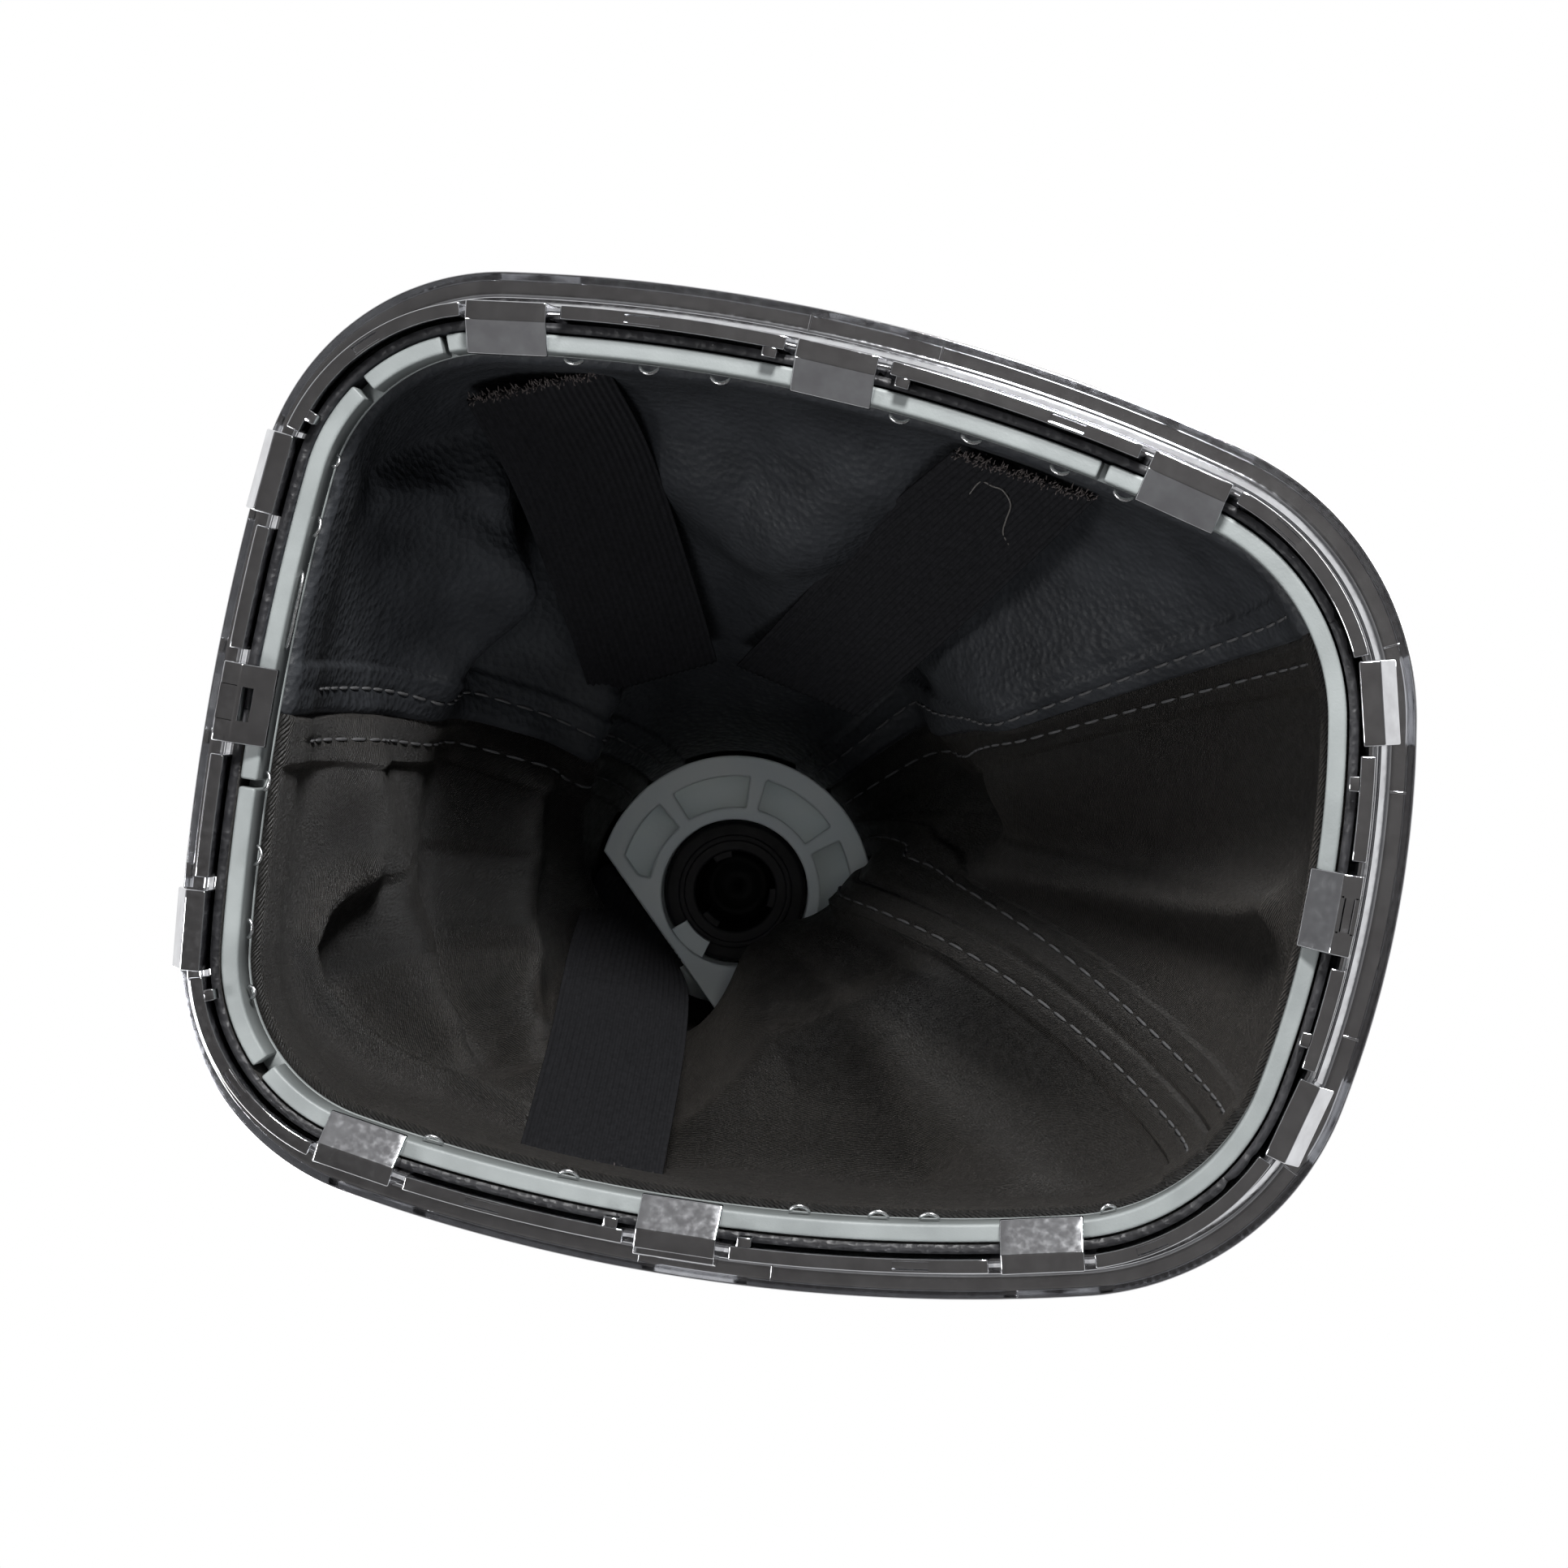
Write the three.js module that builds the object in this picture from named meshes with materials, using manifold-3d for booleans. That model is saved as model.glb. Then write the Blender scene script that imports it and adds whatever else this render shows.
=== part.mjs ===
// A car gear knob with its leather gaiter and the snap-in trim frame of the gaiter.
// Millimetres, +Z up. The frame stands on its retaining tabs at z = 0, x runs along its length,
// and the lever axis leans a little, as a soft gaiter lets it.
import * as THREE from 'three';
import Module from 'manifold-3d';
import { mergeVertices } from 'three/addons/utils/BufferGeometryUtils.js';

const wasm = await Module();
wasm.setup();

// Clearance between pieces that touch.
const clearance = 0.3;

// Outline of the trim frame: arcs that run into each other.
const frameLength = 150;
const frameWidth = 121;
const rightEndRadius = 134;
const leftEndRadius = 300;
const sideRadius = 235;
const sideApex = -15;
const rightCornerRadius = 36;
const leftCornerRadius = 31;

// Section of the trim frame. Insets are measured inwards from the outline.
const overhang = 5.0;
const wallThickness = 1.7;
const wallDraft = 0.5;
const wallFoot = 0.8;
const seatHeight = 12.8;
const lipDrop = 0.5;
const crownHeight = 17.2;
const bezelWidth = 9.9;
const innerLipDrop = 3.4;
const bezelSheet = 1.4;

// Retaining tabs, which turn inwards under the retainer ring.
const tabWidth = 10;
const tabReach = 6.3;
const tabStrip = 2.3;
const tabThickness = 2.9;
const tabTip = 0.6;
const slotWidth = 1.7;
const slotHeight = 8;
const tabWindow = { length: 4.4, width: 1.2, insetLeft: 3.4, insetRight: 1.2 };
const sideTabStations = [68.6, 114.2, 156.1];

// Console hooks, which point outwards.
const hookWidth = 10;
const hookBarb = 2.6;
const hookTip = 0.8;
const hookHeight = 5.2;
const lipBarb = 1.4;
const hookStations = [26.4, 202.2];

// Small forms on the lower edge of the wall.
const pocket = { length: 4.5, width: 1.0, depth: 0.9 };
const pocketStations = [53.6, 84.9, 139.0, 178.2];
const stopBlock = { length: 1.9, reach: 1.2, height: 2.2 };
const stopStations = [16.2, 105.7, 122.7, 192.5];

// Retainer ring.
const leather = 1.1;
const ringWidth = 2.2;
const ringHeight = 5.8;
const ringWeb = 1.2;
const notchWidth = 2.3;
const fineNotchWidth = 1.0;
const notchStations = [177.8, 279.1];
const fineNotchStations = [221.3, 295.7, 383.5];

// Staples that hold the gaiter on the ring, seen at the inner face of the ring.
const wire = 0.5;
const stapleTip = 2.6;
const stapleCrown = 10.3;
const stapleRise = 0.7;
const stapleHeight = 2.6;
const crownStation = 244;
const tipStations = [
  58.8, 83.0, 89.5, 99.6, 129.8, 148.1, 191.6, 202.7, 212.2, 221.8,
  255.0, 264.6, 314.3, 324.1, 333.4, 356.9, 366.4, 378.2, 386.8,
];

// Lever axis: the middle of the collar's lower face, and how the axis leans.
const collarX = -20.8;
const collarY = 20.4;
const collarZ = 119;
const leanX = -0.143;
const leanY = 0.046;

// Collar, measured along the lever axis from its lower face.
const flangeRadius = 21;
const flangeHeight = 9;
const flatDistance = 12.7;
const flatDirection = 134.3;
const hubRadius = 17.6;
const hubTop = 30;
const boreRadius = 11.2;
const pocketInner = 13.1;
const pocketOuter = 17.85;
const pocketDepth = 7;
const pocketPitch = 47.9;
const pocketCount = 5;
const firstRib = -136.8;
const ribAngle = 8;
const flatWall = 2.1;
const boreLug = { depth: 2.6, height: 3, sink: 4, from: 106, to: 139 };

// Neck of the gaiter on the hub, and its tie.
const neckStart = 14.5;
const neckEnd = 24;
const flangeSlack = 0.7;
const tieWidth = 4.8;
const tieThickness = 1.5;
const tieHead = { length: 5.5, width: 6.5, height: 4.2, direction: 40 };

// Gaiter body. Seams are stations on the outline, and angles round the lever axis at the neck.
const openingHeight = 17.5;
const gaiterInset = 11;
const bellyOut = 7;
const bellyLift = 38;
const shoulderDrop = 34;
const shoulderOut = 9;
const seamGap = 0.25;
const seams = [
  { station: 39.3, neck: -21 },
  { station: 230.5, neck: 222 },
  { station: 423.1, neck: 302 },
];
const bodyRows = 20;
const panelColumns = { lower: 36, upper: 34, right: 14 };

// Folds of the gaiter: where the leather sags inwards (positive) or stands out (negative).
const folds = [
  { station: 80, row: 0.84, reach: 20, wide: 34, low: 0.34, high: 0.08 },
  { station: 114, row: 0.88, reach: 10, wide: 18, low: 0.3, high: 0.07 },
  { station: 46, row: 0.74, reach: 9, wide: 18, low: 0.3, high: 0.14 },
  { station: 134, row: 0.5, reach: -4, wide: 11, low: 0.3, high: 0.3 },
  { station: 262, row: 0.34, reach: 9, wide: 13, low: 0.15, high: 0.2 },
  { station: 345, row: 0.42, reach: 6, wide: 16, low: 0.2, high: 0.25 },
  { station: 408, row: 0.52, reach: 12, wide: 24, low: 0.34, high: 0.1 },
  { station: 446, row: 0.57, reach: 9, wide: 19, low: 0.32, high: 0.1 },
];

// Creases across the folds: each runs along its points of [station, row].
const creases = [
  { line: [[221, 0.21], [208, 0.32], [191, 0.42], [173, 0.4]], reach: 6, wide: 8 },
  { line: [[224, 0.5], [205, 0.54], [180, 0.55], [158, 0.46]], reach: -4, wide: 6 },
  { line: [[221, 0.62], [202, 0.68], [180, 0.68], [162, 0.56], [150, 0.42]], reach: 7, wide: 6.5 },
  { line: [[258, 0.68], [232, 0.69], [207, 0.8], [186, 0.9]], reach: 6, wide: 4.5 },
  { line: [[203, 0.15], [189, 0.12], [177, 0.2], [160, 0.29], [147, 0.29]], reach: 3.6, wide: 4 },
  { line: [[281, 0.28], [276, 0.34], [264, 0.38], [248, 0.39]], reach: 4.5, wide: 5 },
  { line: [[287, 0.42], [272, 0.5], [255, 0.52], [246, 0.5]], reach: -6, wide: 7 },
  { line: [[322, 0.36], [330, 0.43], [345, 0.36], [354, 0.25]], reach: 5, wide: 9 },
  { line: [[386, 0.72], [400, 0.78], [425, 0.82], [448, 0.78], [460, 0.72]], reach: -9, wide: 8 },
  { line: [[22, 0.78], [17, 0.64], [11, 0.49], [3, 0.12]], reach: 5, wide: 5 },
];

// Elastic straps inside the gaiter, from the ring's side to the neck.
const strapWidth = 19.5;
const strapThickness = 1.2;
const strapFoot = 0.06;
const strapHead = 0.93;
const strapHold = 0.05;
const strapBow = 13;
const strapSlack = 0.7;
const strapTwist = 2;
const strapShares = [-1, -0.5, 0, 0.5, 1];
const straps = [
  { name: 'elastic_strap_left', station: 301, neck: 248 },
  { name: 'elastic_strap_right', station: 372, neck: 296 },
];
const lowerStrap = {
  name: 'elastic_strap_lower',
  station: 134.5,
  fromAxis: 16.5,
  headHeights: [-6, flangeHeight - 1],
};

// Knob, measured along the lever axis from the collar's lower face.
const coreFoot = 5;
const coreTop = 74;
const leverRadius = 6.2;
const leverDepth = 42;
const keyWidth = 3.2;
const keyDepth = 1.0;
const footRingHeight = 4.5;
const footRingRadius = 17.8;
const gripTop = 92;
const gripWaistRadius = 15.6;
const gripWaistHeight = 50;
const gripHeadRadius = 24.6;
const gripHeadHeight = 80;
const topRadius = 21.2;
const trimRingHeight = 3.2;
const trimRingWidth = 3.4;
const capDome = 3.2;
const capThickness = 3.5;

const up = new THREE.Vector3(0, 0, 1);
const leverAxis = new THREE.Vector3(leanX, leanY, 1).normalize();
const leverTurn = new THREE.Quaternion().setFromUnitVectors(up, leverAxis);
const collarPoint = new THREE.Vector3(collarX, collarY, collarZ);

// Places that follow from the sizes above.
const wallInner = overhang + wallThickness;
const hemInset = wallInner + clearance + leather / 2;
const ringInset = hemInset + leather / 2 + clearance;
const ringFoot = tabThickness + clearance;
const ringInner = ringInset + ringWidth;
const hemFoot = ringFoot + clearance;
const hemTop = ringFoot + ringHeight + clearance + leather / 2;
const neckRadius = hubRadius + clearance + leather / 2;
const flangeNeck = flangeRadius + flangeSlack + leather / 2;

const finishes = {
  chrome: { color: 0xc9ccd0, roughness: 0.12, metalness: 1 },
  greyPlastic: { color: 0xa4aaab, roughness: 0.5, metalness: 0 },
  palePlastic: { color: 0xc3c8c6, roughness: 0.45, metalness: 0 },
  leather: { color: 0x1b1b1d, roughness: 0.6, metalness: 0 },
  elastic: { color: 0x101012, roughness: 0.85, metalness: 0 },
  steel: { color: 0xd4d6d8, roughness: 0.25, metalness: 1 },
  blackPlastic: { color: 0x141416, roughness: 0.45, metalness: 0 },
  glossPlastic: { color: 0x0c0c0e, roughness: 0.15, metalness: 0 },
};

const radians = THREE.MathUtils.degToRad;

function piece(name, geometry, finish) {
  const mesh = new THREE.Mesh(geometry, new THREE.MeshStandardMaterial(finishes[finish]));
  mesh.name = name;
  return mesh;
}

// Centre of a corner arc that touches the end arc and the side arc from inside.
function cornerCentre(end, endRadius, side, radius, toward) {
  const fromSide = sideRadius - radius;
  const fromEnd = endRadius - radius;
  const between = end.clone().sub(side);
  const reach = between.length();
  const along = (fromSide ** 2 - fromEnd ** 2 + reach ** 2) / (2 * reach);
  const across = Math.sqrt(fromSide ** 2 - along ** 2);
  const unit = between.normalize();
  const normal = new THREE.Vector2(-unit.y, unit.x);
  const foot = side.clone().addScaledVector(unit, along);
  const first = foot.clone().addScaledVector(normal, across);
  const second = foot.clone().addScaledVector(normal, -across);
  return first.x * toward > second.x * toward ? first : second;
}

// The outline as arcs in order, from the middle of the right end towards +Y and round.
function outlineArcs() {
  const right = new THREE.Vector2(frameLength / 2 - rightEndRadius, 0);
  const left = new THREE.Vector2(leftEndRadius - frameLength / 2, 0);
  const side = new THREE.Vector2(sideApex, frameWidth / 2 - sideRadius);
  const rightCorner = cornerCentre(right, rightEndRadius, side, rightCornerRadius, 1);
  const leftCorner = cornerCentre(left, leftEndRadius, side, leftCornerRadius, -1);
  const bearing = (to, from) => to.clone().sub(from).angle();
  const turns = [
    0,
    bearing(rightCorner, right),
    bearing(rightCorner, side),
    bearing(leftCorner, side),
    bearing(leftCorner, left),
    Math.PI,
  ];
  const centres = [right, rightCorner, side, leftCorner, left];
  const radii = [rightEndRadius, rightCornerRadius, sideRadius, leftCornerRadius, leftEndRadius];
  const half = centres.map((centre, i) => (
    { centre, radius: radii[i], from: turns[i], to: turns[i + 1] }
  ));
  const mirrored = half.map(({ centre, radius, from, to }) => ({
    centre: new THREE.Vector2(centre.x, -centre.y),
    radius,
    from: 2 * Math.PI - to,
    to: 2 * Math.PI - from,
  }));
  return [...half, ...mirrored.reverse()];
}

const arcs = outlineArcs();
const arcLength = (arc) => arc.radius * (arc.to - arc.from);
const perimeter = arcs.reduce((sum, arc) => sum + arcLength(arc), 0);

// The arc and bearing of a station, which is a length along the outline.
function stationOn(length) {
  let rest = ((length % perimeter) + perimeter) % perimeter;
  for (const arc of arcs) {
    const reach = arcLength(arc);
    if (rest <= reach) {
      return { arc, bearing: arc.from + rest / arc.radius };
    }
    rest -= reach;
  }
  return { arc: arcs[0], bearing: arcs[0].from };
}

function outlinePoint(length, inset, z) {
  const { arc, bearing } = stationOn(length);
  const radius = arc.radius - inset;
  return new THREE.Vector3(
    arc.centre.x + radius * Math.cos(bearing),
    arc.centre.y + radius * Math.sin(bearing),
    z,
  );
}

// Puts a geometry whose X is the inset, Y the height and Z the run along the outline at a station.
function placeOnOutline(geometry, length) {
  const { bearing } = stationOn(length);
  const inward = new THREE.Vector3(-Math.cos(bearing), -Math.sin(bearing), 0);
  const along = new THREE.Vector3().crossVectors(inward, up);
  const matrix = new THREE.Matrix4().makeBasis(inward, up, along);
  matrix.setPosition(outlinePoint(length, 0, 0));
  return geometry.applyMatrix4(matrix);
}

const mirrorStations = (stations) => [...stations, ...stations.map((length) => perimeter - length)];

function geometryOf(positions, triangles) {
  const geometry = new THREE.BufferGeometry();
  geometry.setAttribute('position', new THREE.Float32BufferAttribute(positions, 3));
  geometry.setIndex(triangles);
  return signedVolume(geometry) < 0 ? flipped(geometry) : geometry;
}

function signedVolume(geometry) {
  const place = geometry.attributes.position;
  const index = geometry.index.array;
  const corner = [0, 1, 2].map(() => new THREE.Vector3());
  let volume = 0;
  for (let i = 0; i < index.length; i += 3) {
    corner.forEach((point, k) => point.fromBufferAttribute(place, index[i + k]));
    volume += corner[0].dot(corner[1].clone().cross(corner[2])) / 6;
  }
  return volume;
}

function flipped(geometry) {
  const index = Array.from(geometry.index.array);
  for (let i = 0; i < index.length; i += 3) {
    [index[i], index[i + 1]] = [index[i + 1], index[i]];
  }
  geometry.setIndex(index);
  return geometry;
}

function toSolid(geometry) {
  const bare = geometry.clone();
  bare.deleteAttribute('normal');
  bare.deleteAttribute('uv');
  const merged = mergeVertices(bare, 1e-4);
  return new wasm.Manifold(new wasm.Mesh({
    numProp: 3,
    vertProperties: new Float32Array(merged.attributes.position.array),
    triVerts: new Uint32Array(merged.index.array),
  }));
}

function toGeometry(solid) {
  const mesh = solid.getMesh();
  const geometry = new THREE.BufferGeometry();
  geometry.setAttribute('position', new THREE.BufferAttribute(mesh.vertProperties, 3));
  geometry.setIndex(new THREE.BufferAttribute(mesh.triVerts, 1));
  return geometry;
}

const joined = (base, extras) => extras.reduce((sum, extra) => sum.add(toSolid(extra)), base);
const cut = (base, tools) => tools.reduce((rest, tool) => rest.subtract(toSolid(tool)), base);

// A closed section of [inset, z] points, swept round the whole outline.
function sweepRound(section, segments) {
  const stations = [];
  let start = 0;
  arcs.forEach((arc, i) => {
    const count = segments[i < segments.length ? i : 2 * segments.length - 1 - i];
    for (let k = 0; k < count; k += 1) {
      stations.push(start + (arcLength(arc) * k) / count);
    }
    start += arcLength(arc);
  });
  const positions = [];
  for (const length of stations) {
    for (const [inset, z] of section) {
      positions.push(...outlinePoint(length, inset, z).toArray());
    }
  }
  const triangles = [];
  const across = section.length;
  const around = stations.length;
  for (let i = 0; i < around; i += 1) {
    for (let j = 0; j < across; j += 1) {
      const a = i * across + j;
      const b = i * across + ((j + 1) % across);
      const c = ((i + 1) % around) * across + j;
      const d = ((i + 1) % around) * across + ((j + 1) % across);
      triangles.push(a, b, d, a, d, c);
    }
  }
  return geometryOf(positions, triangles);
}

const ringSegments = [4, 8, 9, 8, 4];

// A prism along the outline whose section is given as [inset, z] points.
function prismOnOutline(section, width, length) {
  const shape = new THREE.Shape(section.map(([inset, z]) => new THREE.Vector2(inset, z)));
  const prism = new THREE.ExtrudeGeometry(shape, { depth: width, bevelEnabled: false });
  prism.translate(0, 0, -width / 2);
  return placeOnOutline(prism, length);
}

function boxOnOutline(insetFrom, insetTo, zFrom, zTo, width, length) {
  const section = [[insetFrom, zFrom], [insetTo, zFrom], [insetTo, zTo], [insetFrom, zTo]];
  return prismOnOutline(section, width, length);
}

function frameSection() {
  const innerLip = crownHeight - innerLipDrop;
  return [
    [wallInner, wallFoot],
    [overhang, wallFoot],
    [overhang - wallDraft, seatHeight],
    [1.2, seatHeight],
    [0.5, seatHeight - lipDrop],
    [0, seatHeight - lipDrop + 0.5],
    [0.3, seatHeight + 1.2],
    [1.8, crownHeight - 1.2],
    [4.8, crownHeight],
    [bezelWidth - 1.9, crownHeight - 0.5],
    [bezelWidth, crownHeight - 2.4],
    [bezelWidth - 0.2, innerLip - 2.2],
    [bezelWidth - bezelSheet, innerLip - 2.2],
    [bezelWidth - bezelSheet - 0.3, innerLip - 0.2],
    [wallInner, innerLip - 0.2],
  ];
}

const tabEnd = overhang + tabReach;

function tabSection() {
  return [
    [overhang, 0],
    [overhang + tabStrip, 0],
    [tabEnd, tabThickness - tabTip],
    [tabEnd, tabThickness],
    [wallInner - 0.4, tabThickness],
    [wallInner - 0.4, slotHeight],
    [overhang, slotHeight],
  ];
}

// The barb stands out of the wall by its reach and runs back to it at the hook's height.
function hookSection(reach) {
  return [
    [wallInner, wallFoot - 0.4],
    [overhang - hookTip, wallFoot - 0.4],
    [overhang - reach, wallFoot + 2.4],
    [overhang - reach, wallFoot + 3],
    [overhang + 0.1, hookHeight],
    [wallInner, hookHeight],
  ];
}

function slotsBeside(width, length) {
  const shift = (width + slotWidth) / 2;
  return [-shift, shift].map((offset) => boxOnOutline(
    overhang - hookBarb - 1,
    wallInner + 0.6,
    -1,
    slotHeight,
    slotWidth,
    length + offset,
  ));
}

function tabWindows() {
  const half = tabWindow.width / 2;
  const windowAt = (inset, length) => boxOnOutline(
    overhang + inset - half,
    overhang + inset + half,
    -1,
    tabThickness + 1,
    tabWindow.length,
    length,
  );
  return [windowAt(tabWindow.insetRight, 0), windowAt(tabWindow.insetLeft, perimeter / 2)];
}

function trimFrame() {
  const tabStations = [0, perimeter / 2, ...mirrorStations(sideTabStations)];
  const hooks = mirrorStations(hookStations);
  const middle = mirrorStations([sideTabStations[1]]);
  const blocks = mirrorStations(stopStations).map((length) => boxOnOutline(
    overhang + 0.5,
    wallInner + stopBlock.reach,
    wallFoot,
    wallFoot + stopBlock.height,
    stopBlock.length,
    length,
  ));
  const pockets = mirrorStations(pocketStations).map((length) => boxOnOutline(
    overhang + (wallThickness - pocket.width) / 2,
    overhang + (wallThickness + pocket.width) / 2,
    -1,
    wallFoot + pocket.depth,
    pocket.length,
    length,
  ));
  const slots = [...tabStations.map((length) => slotsBeside(tabWidth, length)),
    ...hooks.map((length) => slotsBeside(hookWidth, length))].flat();
  let frame = toSolid(sweepRound(frameSection(), ringSegments));
  frame = cut(frame, slots);
  frame = joined(frame, tabStations.map((at) => prismOnOutline(tabSection(), tabWidth, at)));
  frame = joined(frame, hooks.map((at) => prismOnOutline(hookSection(hookBarb), hookWidth, at)));
  frame = joined(frame, middle.map((at) => prismOnOutline(hookSection(lipBarb), tabWidth, at)));
  frame = joined(frame, blocks);
  frame = cut(frame, [...pockets, ...tabWindows()]);
  return piece('trim_frame', toGeometry(frame), 'chrome');
}

// One moulding with thin webs, so that it can be pressed in corner by corner.
function retainerRing() {
  const top = ringFoot + ringHeight;
  const section = [[ringInset, ringFoot], [ringInner, ringFoot], [ringInner, top], [ringInset, top]];
  const notch = (width) => (length) => boxOnOutline(
    ringInset - 1,
    ringInner + 1,
    ringFoot - 1,
    top - ringWeb,
    width,
    length,
  );
  const notches = [
    ...notchStations.map(notch(notchWidth)),
    ...fineNotchStations.map(notch(fineNotchWidth)),
  ];
  const ring = cut(toSolid(sweepRound(section, ringSegments)), notches);
  return piece('retainer_ring', toGeometry(ring), 'greyPlastic');
}

// A bent end or crown of wire that lies on the inner face of the retainer ring.
function staple(name, length, station) {
  const inset = ringInner + clearance + wire / 2;
  const z = ringFoot + stapleHeight;
  const path = new THREE.CatmullRomCurve3([
    outlinePoint(station - length / 2, inset, z),
    outlinePoint(station, inset + (length < stapleCrown ? stapleRise : 0), z - stapleRise),
    outlinePoint(station + length / 2, inset, z),
  ]);
  const half = wire / 2;
  const section = new THREE.Shape([
    new THREE.Vector2(-half, -half),
    new THREE.Vector2(half, -half),
    new THREE.Vector2(half, half),
    new THREE.Vector2(-half, half),
  ]);
  const geometry = new THREE.ExtrudeGeometry(section, { steps: 6, extrudePath: path });
  return piece(name, geometry, 'steel');
}

function staples() {
  const tips = tipStations.map((station, i) => (
    staple(`staple_tip_${String(i + 1).padStart(2, '0')}`, stapleTip, station)
  ));
  return [...tips, staple('staple_crown', stapleCrown, crownStation)];
}

// A point at a height along the lever axis, at a radius and an angle in degrees round it.
function leverPoint(height, radius, angle) {
  const turn = radians(angle);
  return new THREE.Vector3(radius * Math.cos(turn), radius * Math.sin(turn), height)
    .applyQuaternion(leverTurn)
    .add(collarPoint);
}

// Angle at the neck that a station of the outline runs up to.
function neckAngle(station) {
  const rounds = seams.map(({ station: at, neck }) => ({ at, neck }));
  const knots = [
    { at: rounds[2].at - perimeter, neck: rounds[2].neck - 360 },
    ...rounds,
    { at: rounds[0].at + perimeter, neck: rounds[0].neck + 360 },
  ];
  const place = station > knots[4].at ? station - perimeter : station;
  const turn = station > knots[4].at ? 360 : 0;
  const i = Math.max(1, knots.findIndex((knot) => knot.at >= place));
  const share = (place - knots[i - 1].at) / (knots[i].at - knots[i - 1].at);
  return knots[i - 1].neck + share * (knots[i].neck - knots[i - 1].neck) + turn;
}

// The gaiter from hem to neck: the rows of the hem, the body as a Bezier curve, and the neck.
const hemRows = [
  [hemInset, hemFoot],
  [hemInset, hemTop - 0.9],
  [hemInset + 0.3, hemTop - 0.25],
  [hemInset + 0.95, hemTop],
  [gaiterInset - 0.9, hemTop],
  [gaiterInset - 0.25, hemTop + 0.3],
  [gaiterInset, hemTop + 0.95],
];
const neckRows = [
  [flangeNeck, flangeHeight / 2],
  [flangeNeck - 0.1, flangeHeight],
  [(flangeNeck + neckRadius) / 2, (flangeHeight + neckStart) / 2 + 0.4],
  [neckRadius, neckStart],
  [neckRadius, neckEnd],
];

function outwardAt(station) {
  const { bearing } = stationOn(station);
  return new THREE.Vector3(Math.cos(bearing), Math.sin(bearing), 0);
}

function bodyPoint(station, row) {
  const foot = outlinePoint(station, gaiterInset, openingHeight);
  const angle = neckAngle(station);
  const head = leverPoint(-1, flangeNeck, angle);
  const outward = outwardAt(station);
  const shoulder = leverPoint(-1 - shoulderDrop, flangeNeck + shoulderOut, angle);
  const belly = foot.clone().addScaledVector(outward, bellyOut).addScaledVector(up, bellyLift);
  return new THREE.CubicBezierCurve3(foot, belly, shoulder, head).getPoint(row);
}

function aroundOutline(station, other) {
  const turn = (((station - other) % perimeter) + perimeter) % perimeter;
  return turn > perimeter / 2 ? turn - perimeter : turn;
}

function foldReach(station, row) {
  return folds.reduce((sum, fold) => {
    const across = aroundOutline(station, fold.station) / fold.wide;
    const rise = row - fold.row;
    const along = rise / (rise < 0 ? fold.low : fold.high);
    return sum + fold.reach * Math.exp(-(across ** 2) - along ** 2);
  }, 0);
}

// Distance to a crease's line on leather with given lengths of a unit of station and of row.
function creaseDistance(line, station, row, stationLength, rowLength) {
  const places = line.map(([at, height]) => new THREE.Vector3(
    aroundOutline(at, station) * stationLength,
    (height - row) * rowLength,
    0,
  ));
  const here = new THREE.Vector3();
  const distances = places.slice(1).map((place, k) => (
    new THREE.Line3(places[k], place).closestPointToPoint(here, true, new THREE.Vector3()).length()
  ));
  return Math.min(...distances);
}

// A folded point: the smooth body moved towards its inside by the folds and creases.
function foldedPoint(station, row) {
  const point = bodyPoint(station, row);
  const run = bodyPoint(station + 0.5, row).sub(bodyPoint(station - 0.5, row));
  const above = Math.min(1, row + 0.01);
  const below = Math.max(0, row - 0.01);
  const rise = bodyPoint(station, above).sub(bodyPoint(station, below)).divideScalar(above - below);
  const inward = rise.clone().cross(run).normalize();
  const creased = creases.reduce((sum, { line, reach, wide }) => {
    const distance = creaseDistance(line, station, row, run.length(), rise.length());
    return sum + reach * Math.exp(-((distance / wide) ** 2));
  }, foldReach(station, row));
  const held = THREE.MathUtils.smoothstep(row, 0, 0.12)
    * (1 - THREE.MathUtils.smoothstep(row, 0.93, 1));
  return point.addScaledVector(inward, creased * held);
}

// Half of a seam's gap, as a part of the outline's length that the leather there runs up from.
function gapAt(station, row) {
  return seamGap / bodyPoint(station + 0.5, row).distanceTo(bodyPoint(station - 0.5, row));
}

// One column of the gaiter from hem to neck, at a share of the way from seam to seam.
function gaiterColumn(from, to, share) {
  const stationAt = (row) => {
    const start = from + gapAt(from, row);
    return start + (to - gapAt(to, row) - start) * share;
  };
  const foot = stationAt(0);
  const neckStation = stationAt(1);
  const hem = hemRows.map(([inset, z]) => outlinePoint(foot, inset, z));
  const body = Array.from({ length: bodyRows + 1 }, (_, k) => (
    foldedPoint(stationAt(k / bodyRows), k / bodyRows)
  ));
  const neck = neckRows.map(([radius, height]) => (
    leverPoint(height, radius, neckAngle(neckStation))
  ));
  return [...hem, ...body, ...neck];
}

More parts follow.
